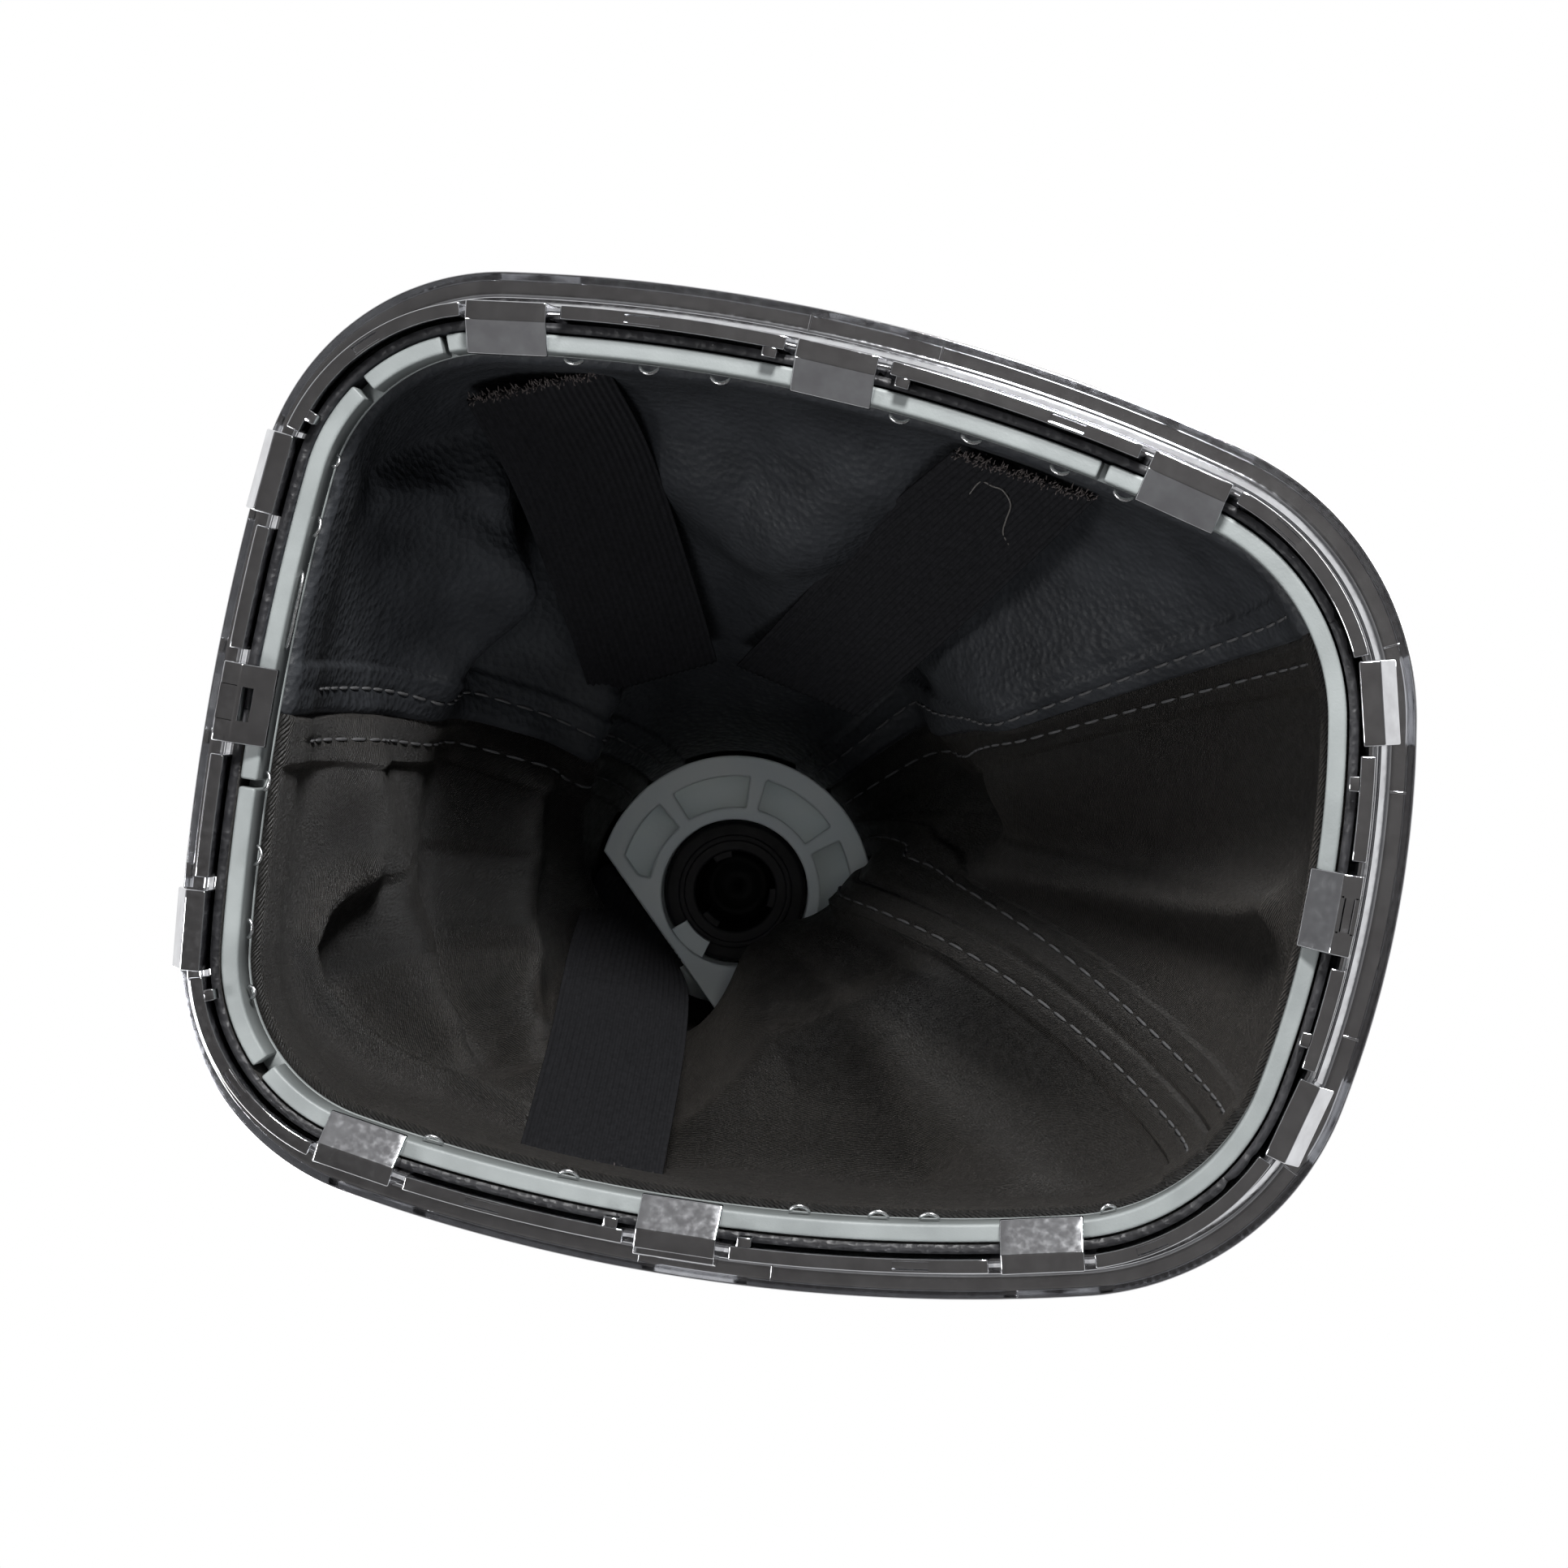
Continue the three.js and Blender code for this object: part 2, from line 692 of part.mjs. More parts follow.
// A closed sheet of even thickness round a grid of points. Spare columns at either side of the
// grid only give the sheet's edges their slope.
function sheetOf(spaciousGrid, thickness, spare = 0) {
  const last = spaciousGrid.length - 1;
  const slopes = spaciousGrid.map((column, i) => column.map((point, j) => {
    const before = spaciousGrid[Math.max(i - 1, 0)][j];
    const run = spaciousGrid[Math.min(i + 1, last)][j].clone().sub(before);
    const above = column[Math.min(j + 1, column.length - 1)];
    const rise = above.clone().sub(column[Math.max(j - 1, 0)]);
    return run.cross(rise).normalize();
  }));
  const grid = spaciousGrid.slice(spare, last + 1 - spare);
  const normals = slopes.slice(spare, last + 1 - spare);
  const wide = grid.length;
  const high = grid[0].length;
  const positions = [];
  for (const side of [1, -1]) {
    grid.forEach((column, i) => column.forEach((point, j) => {
      const moved = point.clone().addScaledVector(normals[i][j], (side * thickness) / 2);
      positions.push(...moved.toArray());
    }));
  }
  const at = (i, j, side) => side * wide * high + i * high + j;
  const triangles = [];
  const quad = (a, b, c, d) => triangles.push(a, b, c, a, c, d);
  for (let i = 0; i < wide - 1; i += 1) {
    for (let j = 0; j < high - 1; j += 1) {
      quad(at(i, j, 0), at(i + 1, j, 0), at(i + 1, j + 1, 0), at(i, j + 1, 0));
      quad(at(i, j, 1), at(i, j + 1, 1), at(i + 1, j + 1, 1), at(i + 1, j, 1));
    }
    quad(at(i, 0, 0), at(i, 0, 1), at(i + 1, 0, 1), at(i + 1, 0, 0));
    quad(at(i, high - 1, 0), at(i + 1, high - 1, 0), at(i + 1, high - 1, 1), at(i, high - 1, 1));
  }
  for (let j = 0; j < high - 1; j += 1) {
    quad(at(0, j, 0), at(0, j + 1, 0), at(0, j + 1, 1), at(0, j, 1));
    quad(at(wide - 1, j, 0), at(wide - 1, j, 1), at(wide - 1, j + 1, 1), at(wide - 1, j + 1, 0));
  }
  return geometryOf(positions, triangles);
}

// A panel runs from one seam to the next, with the seam's gap between panels.
function gaiterPanel(name, from, to, columns) {
  const grid = Array.from({ length: columns + 3 }, (_, i) => (
    gaiterColumn(from, to, (i - 1) / columns)
  ));
  return piece(name, sheetOf(grid, leather, 1), 'leather');
}

function gaiterPanels() {
  const [first, second, third] = seams.map(({ station }) => station);
  return [
    gaiterPanel('gaiter_panel_lower', first, second, panelColumns.lower),
    gaiterPanel('gaiter_panel_upper', second, third, panelColumns.upper),
    gaiterPanel('gaiter_panel_right', third, first + perimeter, panelColumns.right),
  ];
}

// The station whose column reaches the neck at an angle, found by halving.
function stationAtNeck(angle) {
  let low = seams[0].station;
  let high = low + perimeter;
  for (let step = 0; step < 30; step += 1) {
    const middle = (low + high) / 2;
    if (neckAngle(middle) < angle) {
      low = middle;
    } else {
      high = middle;
    }
  }
  return low;
}

// Points across a strap's width on the inside of the leather.
function strapRowOnLeather(station, row, scale) {
  const lift = (leather + strapThickness) / 2 + clearance + strapSlack;
  return strapShares.map((share) => {
    const at = station + (share * strapWidth) / (2 * scale);
    const point = foldedPoint(at, row);
    const run = foldedPoint(at + 1, row).sub(foldedPoint(at - 1, row));
    const rise = foldedPoint(at, row + 0.01).sub(foldedPoint(at, row - 0.01));
    return point.addScaledVector(rise.cross(run).normalize(), lift);
  });
}

// A strap is sewn to the leather near the ring, bows inwards and turns to its head at the neck.
function strapBetween(name, station, head) {
  const foot = [0, strapHold].map((row) => strapRowOnLeather(station, strapFoot + row, 1));
  const middleShare = (strapShares.length - 1) / 2;
  const from = foot[1];
  const to = head[0];
  const bowed = [1, 2, 3, 4].map((k) => {
    const centre = from[middleShare].clone().lerp(to[middleShare], k / 5);
    const inward = collarPoint.clone().multiplyScalar(centre.z / collarZ).sub(centre).normalize();
    centre.addScaledVector(inward, strapBow * Math.sin((Math.PI * k) / 5));
    return strapShares.map((_, i) => {
      const aside = from[i].clone().sub(from[middleShare]);
      aside.lerp(to[i].clone().sub(to[middleShare]), (k / 5) ** strapTwist);
      const width = (Math.abs(strapShares[i]) * strapWidth) / 2;
      return centre.clone().add(aside.setLength(width));
    });
  });
  const rows = [...foot, ...bowed, ...head];
  const grid = strapShares.map((_, i) => rows.map((row) => row[i]));
  return piece(name, sheetOf(grid, strapThickness), 'elastic');
}

function elasticStrap({ name, station, neck }) {
  const neckStation = stationAtNeck(neck);
  const next = bodyPoint(neckStation + 1, strapHead);
  const scale = next.distanceTo(bodyPoint(neckStation, strapHead));
  const head = [-strapHold, 0].map((row) => strapRowOnLeather(neckStation, strapHead + row, scale));
  return strapBetween(name, station, head);
}

// The lower strap passes the flat side of the collar and ends beside its flange.
function elasticStrapLower({ name, station, fromAxis, headHeights }) {
  const head = headHeights.map((height) => strapShares.map((share) => {
    const aside = (share * strapWidth) / 2;
    const angle = flatDirection + THREE.MathUtils.radToDeg(Math.atan2(aside, fromAxis));
    return leverPoint(height, Math.hypot(aside, fromAxis), angle);
  }));
  return strapBetween(name, station, head);
}

function latheAlong(points, segments) {
  const profile = points.map(([radius, height]) => new THREE.Vector2(radius, height));
  return new THREE.LatheGeometry([...profile, profile[0]], segments).rotateX(Math.PI / 2);
}

// An arc-shaped pocket of the collar, between two ribs.
function sectorPrism(inner, outer, from, to, height) {
  const shape = new THREE.Shape();
  shape.absarc(0, 0, outer, radians(from), radians(to), false);
  shape.absarc(0, 0, inner, radians(to), radians(from), true);
  return new THREE.ExtrudeGeometry(shape, { depth: height, bevelEnabled: false, curveSegments: 6 });
}

// Everything beyond a line at a distance from the axis, on the side of the collar's flat.
function beyondFlat(distance, from, to) {
  const size = 3 * flangeRadius;
  const box = new THREE.BoxGeometry(size, size, to - from);
  box.translate(distance + size / 2, 0, (from + to) / 2);
  return box.rotateZ(radians(flatDirection));
}

function collar() {
  const body = toSolid(latheAlong([
    [boreRadius, 0],
    [flangeRadius - 0.6, 0],
    [flangeRadius, 0.6],
    [flangeRadius, flangeHeight],
    [hubRadius, flangeHeight],
    [hubRadius, hubTop],
    [boreRadius, hubTop],
  ], 40));
  const pockets = Array.from({ length: pocketCount }, (_, i) => {
    const rib = firstRib + (i - 1) * pocketPitch;
    const sector = sectorPrism(
      pocketInner,
      pocketOuter,
      rib + ribAngle / 2,
      rib + pocketPitch - ribAngle / 2,
      pocketDepth + 1,
    ).translate(0, 0, -1);
    return toSolid(sector).subtract(toSolid(beyondFlat(flatDistance - flatWall, -2, flangeHeight)));
  });
  const lug = sectorPrism(
    boreRadius - boreLug.depth,
    boreRadius + 0.5,
    boreLug.from,
    boreLug.to,
    boreLug.height,
  ).translate(0, 0, boreLug.sink);
  const flat = toSolid(beyondFlat(flatDistance, -1, flangeHeight));
  let solid = pockets.reduce((rest, hollow) => rest.subtract(hollow), body).subtract(flat);
  solid = solid.add(toSolid(lug));
  return piece('collar', toGeometry(solid), 'palePlastic');
}

function neckTie() {
  const inner = neckRadius + leather / 2 + clearance;
  const middle = (neckStart + neckEnd) / 2;
  const band = toSolid(latheAlong([
    [inner, middle - tieWidth / 2],
    [inner + tieThickness, middle - tieWidth / 2],
    [inner + tieThickness, middle + tieWidth / 2],
    [inner, middle + tieWidth / 2],
  ], 32));
  const head = new THREE.BoxGeometry(tieHead.height, tieHead.length, tieHead.width);
  head.translate(inner + tieThickness / 2 + tieHead.height / 2, 0, middle);
  head.rotateZ(radians(tieHead.direction));
  return piece('neck_tie', toGeometry(joined(band, [head])), 'blackPlastic');
}

// Black sleeve that grips the lever, with three keys in its bore.
function knobCore() {
  const outer = boreRadius - clearance;
  const start = coreFoot + boreLug.height + clearance;
  const body = toSolid(latheAlong([[leverRadius, start], [outer, start], [outer, coreTop],
    [leverRadius, coreTop]], 28));
  const plug = new THREE.CylinderGeometry(leverRadius + 0.5, leverRadius + 0.5,
    coreTop - leverDepth, 28);
  plug.rotateX(Math.PI / 2).translate(0, 0, (coreTop + leverDepth) / 2);
  const keys = [0, 120, 240].map((angle) => {
    const key = new THREE.BoxGeometry(keyDepth + 0.5, keyWidth, leverDepth - start + 1);
    key.translate(leverRadius - keyDepth / 2 + 0.25, 0, (start + leverDepth + 1) / 2);
    return key.rotateZ(radians(angle));
  });
  return piece('knob_core', toGeometry(joined(body, [plug, ...keys])), 'blackPlastic');
}

const gripFoot = hubTop + clearance + footRingHeight + clearance;

function footRing() {
  const foot = hubTop + clearance;
  return piece('knob_foot_ring', latheAlong([
    [boreRadius, foot],
    [footRingRadius - 0.8, foot],
    [footRingRadius, foot + 0.8],
    [footRingRadius, foot + footRingHeight - 0.8],
    [footRingRadius - 0.8, foot + footRingHeight],
    [boreRadius, foot + footRingHeight],
  ], 32), 'chrome');
}

// The grip is turned: a waist above the foot ring and a round head.
function knobGrip() {
  const silhouette = new THREE.CatmullRomCurve3([
    new THREE.Vector3(footRingRadius - 0.6, 0, gripFoot),
    new THREE.Vector3(gripWaistRadius, 0, gripWaistHeight),
    new THREE.Vector3((gripWaistRadius + gripHeadRadius) / 2 + 0.6, 0,
      (gripWaistHeight + gripHeadHeight) / 2),
    new THREE.Vector3(gripHeadRadius, 0, gripHeadHeight),
    new THREE.Vector3(topRadius, 0, gripTop),
  ]).getPoints(10).map((point) => [point.x, point.z]);
  const cavity = coreTop + clearance;
  const profile = [[boreRadius, gripFoot], ...silhouette, [0, gripTop], [0, cavity],
    [boreRadius, cavity]];
  return piece('knob_grip', latheAlong(profile, 32), 'leather');
}

function trimRing() {
  const foot = gripTop + clearance;
  const inner = topRadius - trimRingWidth;
  return piece('knob_trim_ring', latheAlong([
    [inner, foot],
    [topRadius, foot],
    [topRadius - 0.5, foot + trimRingHeight - 0.8],
    [topRadius - 1.4, foot + trimRingHeight],
    [inner, foot + trimRingHeight],
  ], 32), 'chrome');
}

function knobCap() {
  const foot = gripTop + clearance;
  const radius = topRadius - trimRingWidth - clearance;
  const edge = foot + capThickness - 0.6;
  const dome = Array.from({ length: 5 }, (_, k) => {
    const turn = (k / 4) * (Math.PI / 2);
    return [radius * Math.cos(turn), edge + capDome * Math.sin(turn)];
  });
  const profile = [[0, foot], [radius, foot], ...dome.slice(0, -1), [0, edge + capDome]];
  return piece('knob_cap', latheAlong(profile, 32), 'glossPlastic');
}

// Everything that turns round the lever axis.
function leverGroup() {
  const group = new THREE.Group();
  group.add(collar(), neckTie(), knobCore(), footRing(), knobGrip(), trimRing(), knobCap());
  group.position.copy(collarPoint);
  group.quaternion.copy(leverTurn);
  return group;
}

const gearKnob = new THREE.Group();
gearKnob.add(trimFrame(), retainerRing(), ...staples(), ...gaiterPanels());
gearKnob.add(...straps.map(elasticStrap), elasticStrapLower(lowerStrap), leverGroup());

export default gearKnob;
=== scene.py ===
"""Looks of a car gear knob with its leather gaiter, seen from below through the trim frame."""
import math
import random

import bpy
import numpy as np
from mathutils import Matrix, Vector

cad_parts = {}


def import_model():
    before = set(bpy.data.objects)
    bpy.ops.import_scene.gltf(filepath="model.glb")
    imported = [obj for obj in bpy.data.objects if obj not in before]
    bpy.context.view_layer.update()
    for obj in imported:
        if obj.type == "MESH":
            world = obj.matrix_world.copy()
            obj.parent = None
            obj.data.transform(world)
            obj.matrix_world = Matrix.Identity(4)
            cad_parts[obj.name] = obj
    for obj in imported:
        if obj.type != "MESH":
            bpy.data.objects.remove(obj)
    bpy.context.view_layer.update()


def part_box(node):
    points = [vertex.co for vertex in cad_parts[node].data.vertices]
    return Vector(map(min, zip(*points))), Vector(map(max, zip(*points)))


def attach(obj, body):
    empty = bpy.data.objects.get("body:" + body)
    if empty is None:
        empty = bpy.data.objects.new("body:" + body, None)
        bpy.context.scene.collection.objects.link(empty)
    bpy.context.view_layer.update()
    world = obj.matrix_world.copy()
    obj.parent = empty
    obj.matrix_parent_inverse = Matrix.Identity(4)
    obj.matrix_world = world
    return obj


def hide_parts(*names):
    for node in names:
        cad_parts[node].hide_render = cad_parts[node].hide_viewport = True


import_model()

# Sizes are in millimetres in the frame of the part, and meshes are written in metres.
MM = 0.001
CLEARANCE = 0.3
SEED = 7
RING_STEPS = 420
RUN_STEP = 1.2
WIRE_END = 0.45

frame_low, frame_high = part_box("trim_frame")
ring_low, ring_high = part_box("retainer_ring")

# Outline of the trim frame: arcs that run into each other.
FRAME_LENGTH = (frame_high.x - frame_low.x) / MM
FRAME_WIDTH = (frame_high.y - frame_low.y) / MM
CROWN_HEIGHT = frame_high.z / MM
RIGHT_END_RADIUS = 134
LEFT_END_RADIUS = 300
SIDE_RADIUS = 235
SIDE_APEX = -15
RIGHT_CORNER_RADIUS = 36
LEFT_CORNER_RADIUS = 31

# Section of the trim frame, with insets measured inwards from the outline.
OVERHANG = 5.0
WALL_INNER = 6.7
WALL_DRAFT = 0.5
WALL_FOOT = 0.8
SEAT_HEIGHT = 12.8
LIP_HEIGHT = 12.3
FILLET = 1.5
BEZEL_WIDTH = 9.9
INNER_LIP_HEIGHT = CROWN_HEIGHT - 3.4
BEZEL_SHEET = 1.4
SLOT_HEIGHT = 8.0
SLOT_WIDTH = 1.7
TAB_WIDTH = 10.0
TAB_STRIP = 2.3
TAB_END = 11.3
TAB_THICKNESS = 2.9
TAB_TIP = 0.6
TAB_STATIONS = [68.6, 114.2, 156.1]
LIP_STATION = 114.2
HOOK_STATIONS = [26.4, 202.2]
HOOK_BARB = 2.6
LIP_BARB = 1.4
HOOK_TIP = 0.8
HOOK_HEIGHT = 5.2
WINDOW_LENGTH = 4.4
WINDOW_WIDTH = 1.2
WINDOW_DEPTH = 3.9
WINDOW_RIGHT = 6.2
WINDOW_LEFT = 8.4
POCKET_STATIONS = [53.6, 84.9, 139.0, 178.2]
POCKET_LENGTH = 4.5
POCKET_WIDTH = 1.0
POCKET_DEPTH = 0.9
STOP_STATIONS = [16.2, 105.7, 122.7, 192.5]
STOP_LENGTH = 1.9
STOP_REACH = 1.2
STOP_HEIGHT = 2.2
PARTING_STATIONS = [15.3, 33.6, 103.6, 120.4]
EDGE = 0.2
# Least length of a corner's summed directions, which keeps a sharp corner's bevel short, and the
# share of an edge that a rounded corner may take
SHARPEST_CORNER = 0.8
LONGEST_ROUND = 0.45

# Retainer ring and staples.
LEATHER = 1.1
RING_FOOT = ring_low.z / MM
RING_TOP = ring_high.z / MM
RING_INSET = 8.4
RING_INNER = 10.6
RING_WEB = 1.2
NOTCHES = [(177.8, 2.3), (279.1, 2.3), (221.3, 1.0), (295.7, 1.0), (383.5, 1.0)]
WIRE = 0.5
TIP_LENGTH = 2.6
TIP_RISE = 0.85
CROWN_LENGTH = 10.3
TIP_TWIST = 0.25
TIP_SINK = 0.35
CROWN_SINK = 0.7
STAPLE_Z = RING_FOOT + 2.3
CROWN_STATION = 244
TIP_STATIONS = [
    58.8, 83.0, 89.5, 99.6, 129.8, 148.1, 191.6, 202.7, 212.2, 221.8,
    255.0, 264.6, 314.3, 324.1, 333.4, 356.9, 366.4, 378.2, 386.8,
]

# Lever axis and the collar on it.
COLLAR_POINT = np.array([-20.8, 20.4, 119.0])
LEAN = np.array([-0.143, 0.046, 1.0])
FLANGE_RADIUS = 21.0
FLANGE_HEIGHT = 9.0
FLAT_DISTANCE = 12.7
FLAT_DIRECTION = 134.3
HUB_RADIUS = 17.6
HUB_TOP = 30.0
BORE_RADIUS = 11.2
POCKET_INNER = 13.1
POCKET_OUTER = 17.85
COLLAR_POCKET_DEPTH = 7.0
POCKET_PITCH = 47.9
POCKET_COUNT = 5
FIRST_RIB = -136.8
RIB_ANGLE = 8.0
FLAT_WALL = 2.1
LUG_DEPTH = 2.6
LUG_HEIGHT = 3.0
LUG_SINK = 4.0
LUG_ANGLES = (106, 139)

# Gaiter: its seams as stations and angles at the neck, and its broad folds.
GAITER_INSET = 11.0
HEM_INSET = 7.55
HEM_FOOT = RING_FOOT + CLEARANCE
HEM_TOP = RING_TOP + CLEARANCE + LEATHER / 2
OPENING_HEIGHT = 17.5
BELLY_OUT = 7.0
BELLY_LIFT = 38.0
SHOULDER_DROP = 34.0
SHOULDER_OUT = 9.0
FLANGE_NECK = FLANGE_RADIUS + 0.7 + LEATHER / 2
NECK_RADIUS = HUB_RADIUS + CLEARANCE + LEATHER / 2
NECK_START = 14.5
NECK_END = 24.0
SEAM_GAP = -0.05
SLOPE_SPAN = 9.0
SEAMS = [(39.3, -25.0), (230.5, 222.0), (423.1, 302.0)]
FOLDS = [
    (80, 0.84, 20, 34, 0.34, 0.08),
    (114, 0.88, 10, 18, 0.3, 0.07),
    (46, 0.74, 9, 18, 0.3, 0.14),
    (134, 0.5, -4, 11, 0.3, 0.3),
    (262, 0.34, 9, 13, 0.15, 0.2),
    (345, 0.42, 6, 16, 0.2, 0.25),
    (408, 0.52, 12, 24, 0.34, 0.1),
    (446, 0.57, 9, 19, 0.32, 0.1),
]

# Creases on the broad folds: points of (station, row), how far they stand inwards, their width
# and how sharp they are. A negative reach is a valley.
CREASES = [
    ([(221, 0.21), (208, 0.32), (191, 0.42), (173, 0.4)], 6.0, 8.0, 2.0),
    ([(224, 0.5), (205, 0.54), (180, 0.55), (158, 0.46)], -4.0, 6.0, 2.0),
    ([(221, 0.62), (202, 0.68), (180, 0.68), (162, 0.56), (150, 0.42)], 7.0, 6.5, 1.7),
    ([(258, 0.68), (232, 0.69), (207, 0.8), (186, 0.9)], 6.0, 4.5, 1.7),
    ([(207, 0.24), (203, 0.15), (198, 0.1), (189, 0.12), (177, 0.2), (160, 0.29), (147, 0.29)],
     3.6, 3.2, 1.4),
    ([(187, 0.27), (168, 0.33)], -2.5, 5.0, 2.0),
    ([(262, 0.1), (269, 0.2), (280, 0.28)], 3.0, 3.2, 1.4),
    ([(264, 0.08), (276, 0.2), (287, 0.26)], -2.6, 3.2, 1.8),
    ([(281, 0.28), (276, 0.34), (264, 0.38), (248, 0.39), (241, 0.38)], 4.5, 5.0, 1.6),
    ([(287, 0.42), (272, 0.5), (255, 0.52), (246, 0.5)], -6.0, 7.0, 2.0),
    ([(322, 0.36), (330, 0.43), (345, 0.36), (354, 0.25)], 5.0, 9.0, 2.2),
    ([(386, 0.72), (400, 0.78), (425, 0.82), (448, 0.78), (460, 0.72)], -9.0, 8.0, 2.0),
    ([(22, 0.78), (17, 0.64), (11, 0.49), (3, 0.12)], 5.0, 4.5, 1.4),
    ([(122, 0.5), (108, 0.6), (88, 0.6), (60, 0.6)], 2.5, 5.0, 1.6),
    ([(84, 0.53), (79, 0.34), (73, 0.14)], 2.6, 6.0, 2.0),
    ([(123, 0.4), (104, 0.36), (88, 0.28)], -3.0, 7.0, 2.0),
]
CREASE_STEPS = 4

# Seams: the allowance on either side of the line, held down by two rows of stitches.
ALLOWANCE_EDGE = (6.25, 6.75)
ALLOWANCE_LIFT = 0.75
ROW_DISTANCE = 3.4
STITCH_LENGTH = 2.6
STITCH_PITCH = 3.5
THREAD = 0.42
LINE_SINK = 0.7
LINE_WIDTH = 0.45
ROW_SINK = 0.22
ROW_WIDTH = 0.5
OUTSIDE_LINE_SINK = 0.35
OUTSIDE_LINE_WIDTH = 0.6
OUTSIDE_ROW_SINK = 0.15
STITCH_SINK = 0.16
STITCH_STEPS = 7

# Elastic straps: the points [x, y, z] that each one's middle runs through, and how far its width
# is turned there from the frame's length, in degrees.
STRAP_WIDTH = 19.0
STRAP_THICKNESS = 1.2
STRAP_RIBS = 22
RIB_DEPTH = 0.13
STRAP_ROWS = 110
# How much thinner a strap is at its edges, and over what share of its half width
STRAP_EDGE_LOSS = 0.55
STRAP_EDGE_SHARE = 0.03
FRAY_RADIUS = 0.09
LOOSE_RADIUS = 0.11
STRAPS = {
    "elastic_strap_left": [(-44, -45.9, 28, -22), (-40, -36.2, 47, -29), (-35, -20, 70, -31),
                           (-32.5, -10.5, 83, -26)],
    "elastic_strap_right": [(19.6, -45.3, 27, 8), (8, -33.7, 48, 20), (-4.3, -20.7, 72, 16),
                            (-11.6, -12.6, 83, 12)],
    "elastic_strap_lower": [(-19.2, 51.1, 28.5, 0), (-24.5, 40.5, 62, -4), (-30, 32, 92, 14),
                            (-33.2, 26.8, 110, 38), (-33.8, 26.4, 122, 45)],
}
# Stray pale thread that lies on the right strap
LOOSE_THREAD = [(12.6, -42.0, 33.2), (14.1, -43.7, 30.2), (15.7, -43.4, 30.0), (17.1, -43.1, 30.0),
                (18.2, -41.6, 31.8), (17.7, -39.7, 34.8), (17.4, -38.1, 37.2), (18.3, -36.7, 39.0)]

# Photograph: image width, focal length and the frame's middle in pixels, the camera's distance
# and roll, and the height on the z axis that it looks at.
IMAGE = 1932
SENSOR = 36.0
FOCAL_PIXELS = 4500
CAMERA_DISTANCE = 450.0
CAMERA_ROLL = 10.79
FRAME_MIDDLE = (975, 990)
AIM_HEIGHT = 14.0


def corner_centre(end, end_radius, side, radius, toward):
    """Centre of a corner arc that touches the end arc and the side arc from inside."""
    from_side = SIDE_RADIUS - radius
    from_end = end_radius - radius
    between = end - side
    reach = np.hypot(*between)
    along = (from_side ** 2 - from_end ** 2 + reach ** 2) / (2 * reach)
    across = math.sqrt(from_side ** 2 - along ** 2)
    heading = between / reach
    normal = np.array([-heading[1], heading[0]])
    choices = [side + heading * along + normal * across * turn for turn in (1, -1)]
    return max(choices, key=lambda point: point[0] * toward)


def outline_arcs():
    """The outline as (centre, radius, from, to), from the middle of the right end towards +Y."""
    right = np.array([FRAME_LENGTH / 2 - RIGHT_END_RADIUS, 0.0])
    left = np.array([LEFT_END_RADIUS - FRAME_LENGTH / 2, 0.0])
    side = np.array([SIDE_APEX, FRAME_WIDTH / 2 - SIDE_RADIUS])
    right_corner = corner_centre(right, RIGHT_END_RADIUS, side, RIGHT_CORNER_RADIUS, 1)
    left_corner = corner_centre(left, LEFT_END_RADIUS, side, LEFT_CORNER_RADIUS, -1)

    def bearing(to, start):
        return math.atan2(to[1] - start[1], to[0] - start[0])

    turns = [0, bearing(right_corner, right), bearing(right_corner, side),
             bearing(left_corner, side), bearing(left_corner, left), math.pi]
    centres = [right, right_corner, side, left_corner, left]
    radii = [RIGHT_END_RADIUS, RIGHT_CORNER_RADIUS, SIDE_RADIUS, LEFT_CORNER_RADIUS,
             LEFT_END_RADIUS]
    half = list(zip(centres, radii, turns[:-1], turns[1:]))
    back = [(centre * [1, -1], radius, 2 * math.pi - end, 2 * math.pi - start)
            for centre, radius, start, end in reversed(half)]
    return half + back


ARCS = outline_arcs()
ARC_STARTS = np.concatenate([[0], np.cumsum([r * (end - start) for _, r, start, end in ARCS])])
PERIMETER = ARC_STARTS[-1]


def outline(stations, inset):
    """Points [x, y] on the outline moved inwards, and the outward directions there."""
    places = np.mod(np.asarray(stations, float), PERIMETER)
    index = np.clip(np.searchsorted(ARC_STARTS, places, side="right") - 1, 0, len(ARCS) - 1)
    centre = np.array([arc[0] for arc in ARCS])[index]
    radius = np.array([arc[1] for arc in ARCS])[index]
    start = np.array([arc[2] for arc in ARCS])[index]
    bearing = start + (places - ARC_STARTS[index]) / radius
    outward = np.stack([np.cos(bearing), np.sin(bearing)], -1)
    return centre + outward * (radius - inset)[..., None], outward


def on_outline(stations, inset, height):
    """Points [x, y, z] at stations, insets and heights, which may be arrays of one shape."""
    stations, inset, height = np.broadcast_arrays(
        np.asarray(stations, float), np.asarray(inset, float), np.asarray(height, float))
    flat, _ = outline(stations, inset)
    return np.concatenate([flat, height[..., None]], -1)


def mirrored(stations):
    return list(stations) + [PERIMETER - station for station in stations]


AXIS = LEAN / np.linalg.norm(LEAN)
AXIS_TURN = np.array(Vector((0, 0, 1)).rotation_difference(Vector(AXIS)).to_matrix())


def on_lever(height, radius, angle):
    """Points at a height along the lever axis, at a radius and an angle in degrees."""
    turn = np.radians(angle)
    local = np.stack(np.broadcast_arrays(radius * np.cos(turn), radius * np.sin(turn), height), -1)
    return local.astype(float) @ AXIS_TURN.T + COLLAR_POINT


def smoothstep(value, low, high):
    share = np.clip((value - low) / (high - low), 0, 1)
    return share * share * (3 - 2 * share)


def bell(distance, width):
    return np.exp(-(distance / width) ** 2)


def unit(vectors):
    return vectors / np.maximum(np.linalg.norm(vectors, axis=-1, keepdims=True), 1e-9)


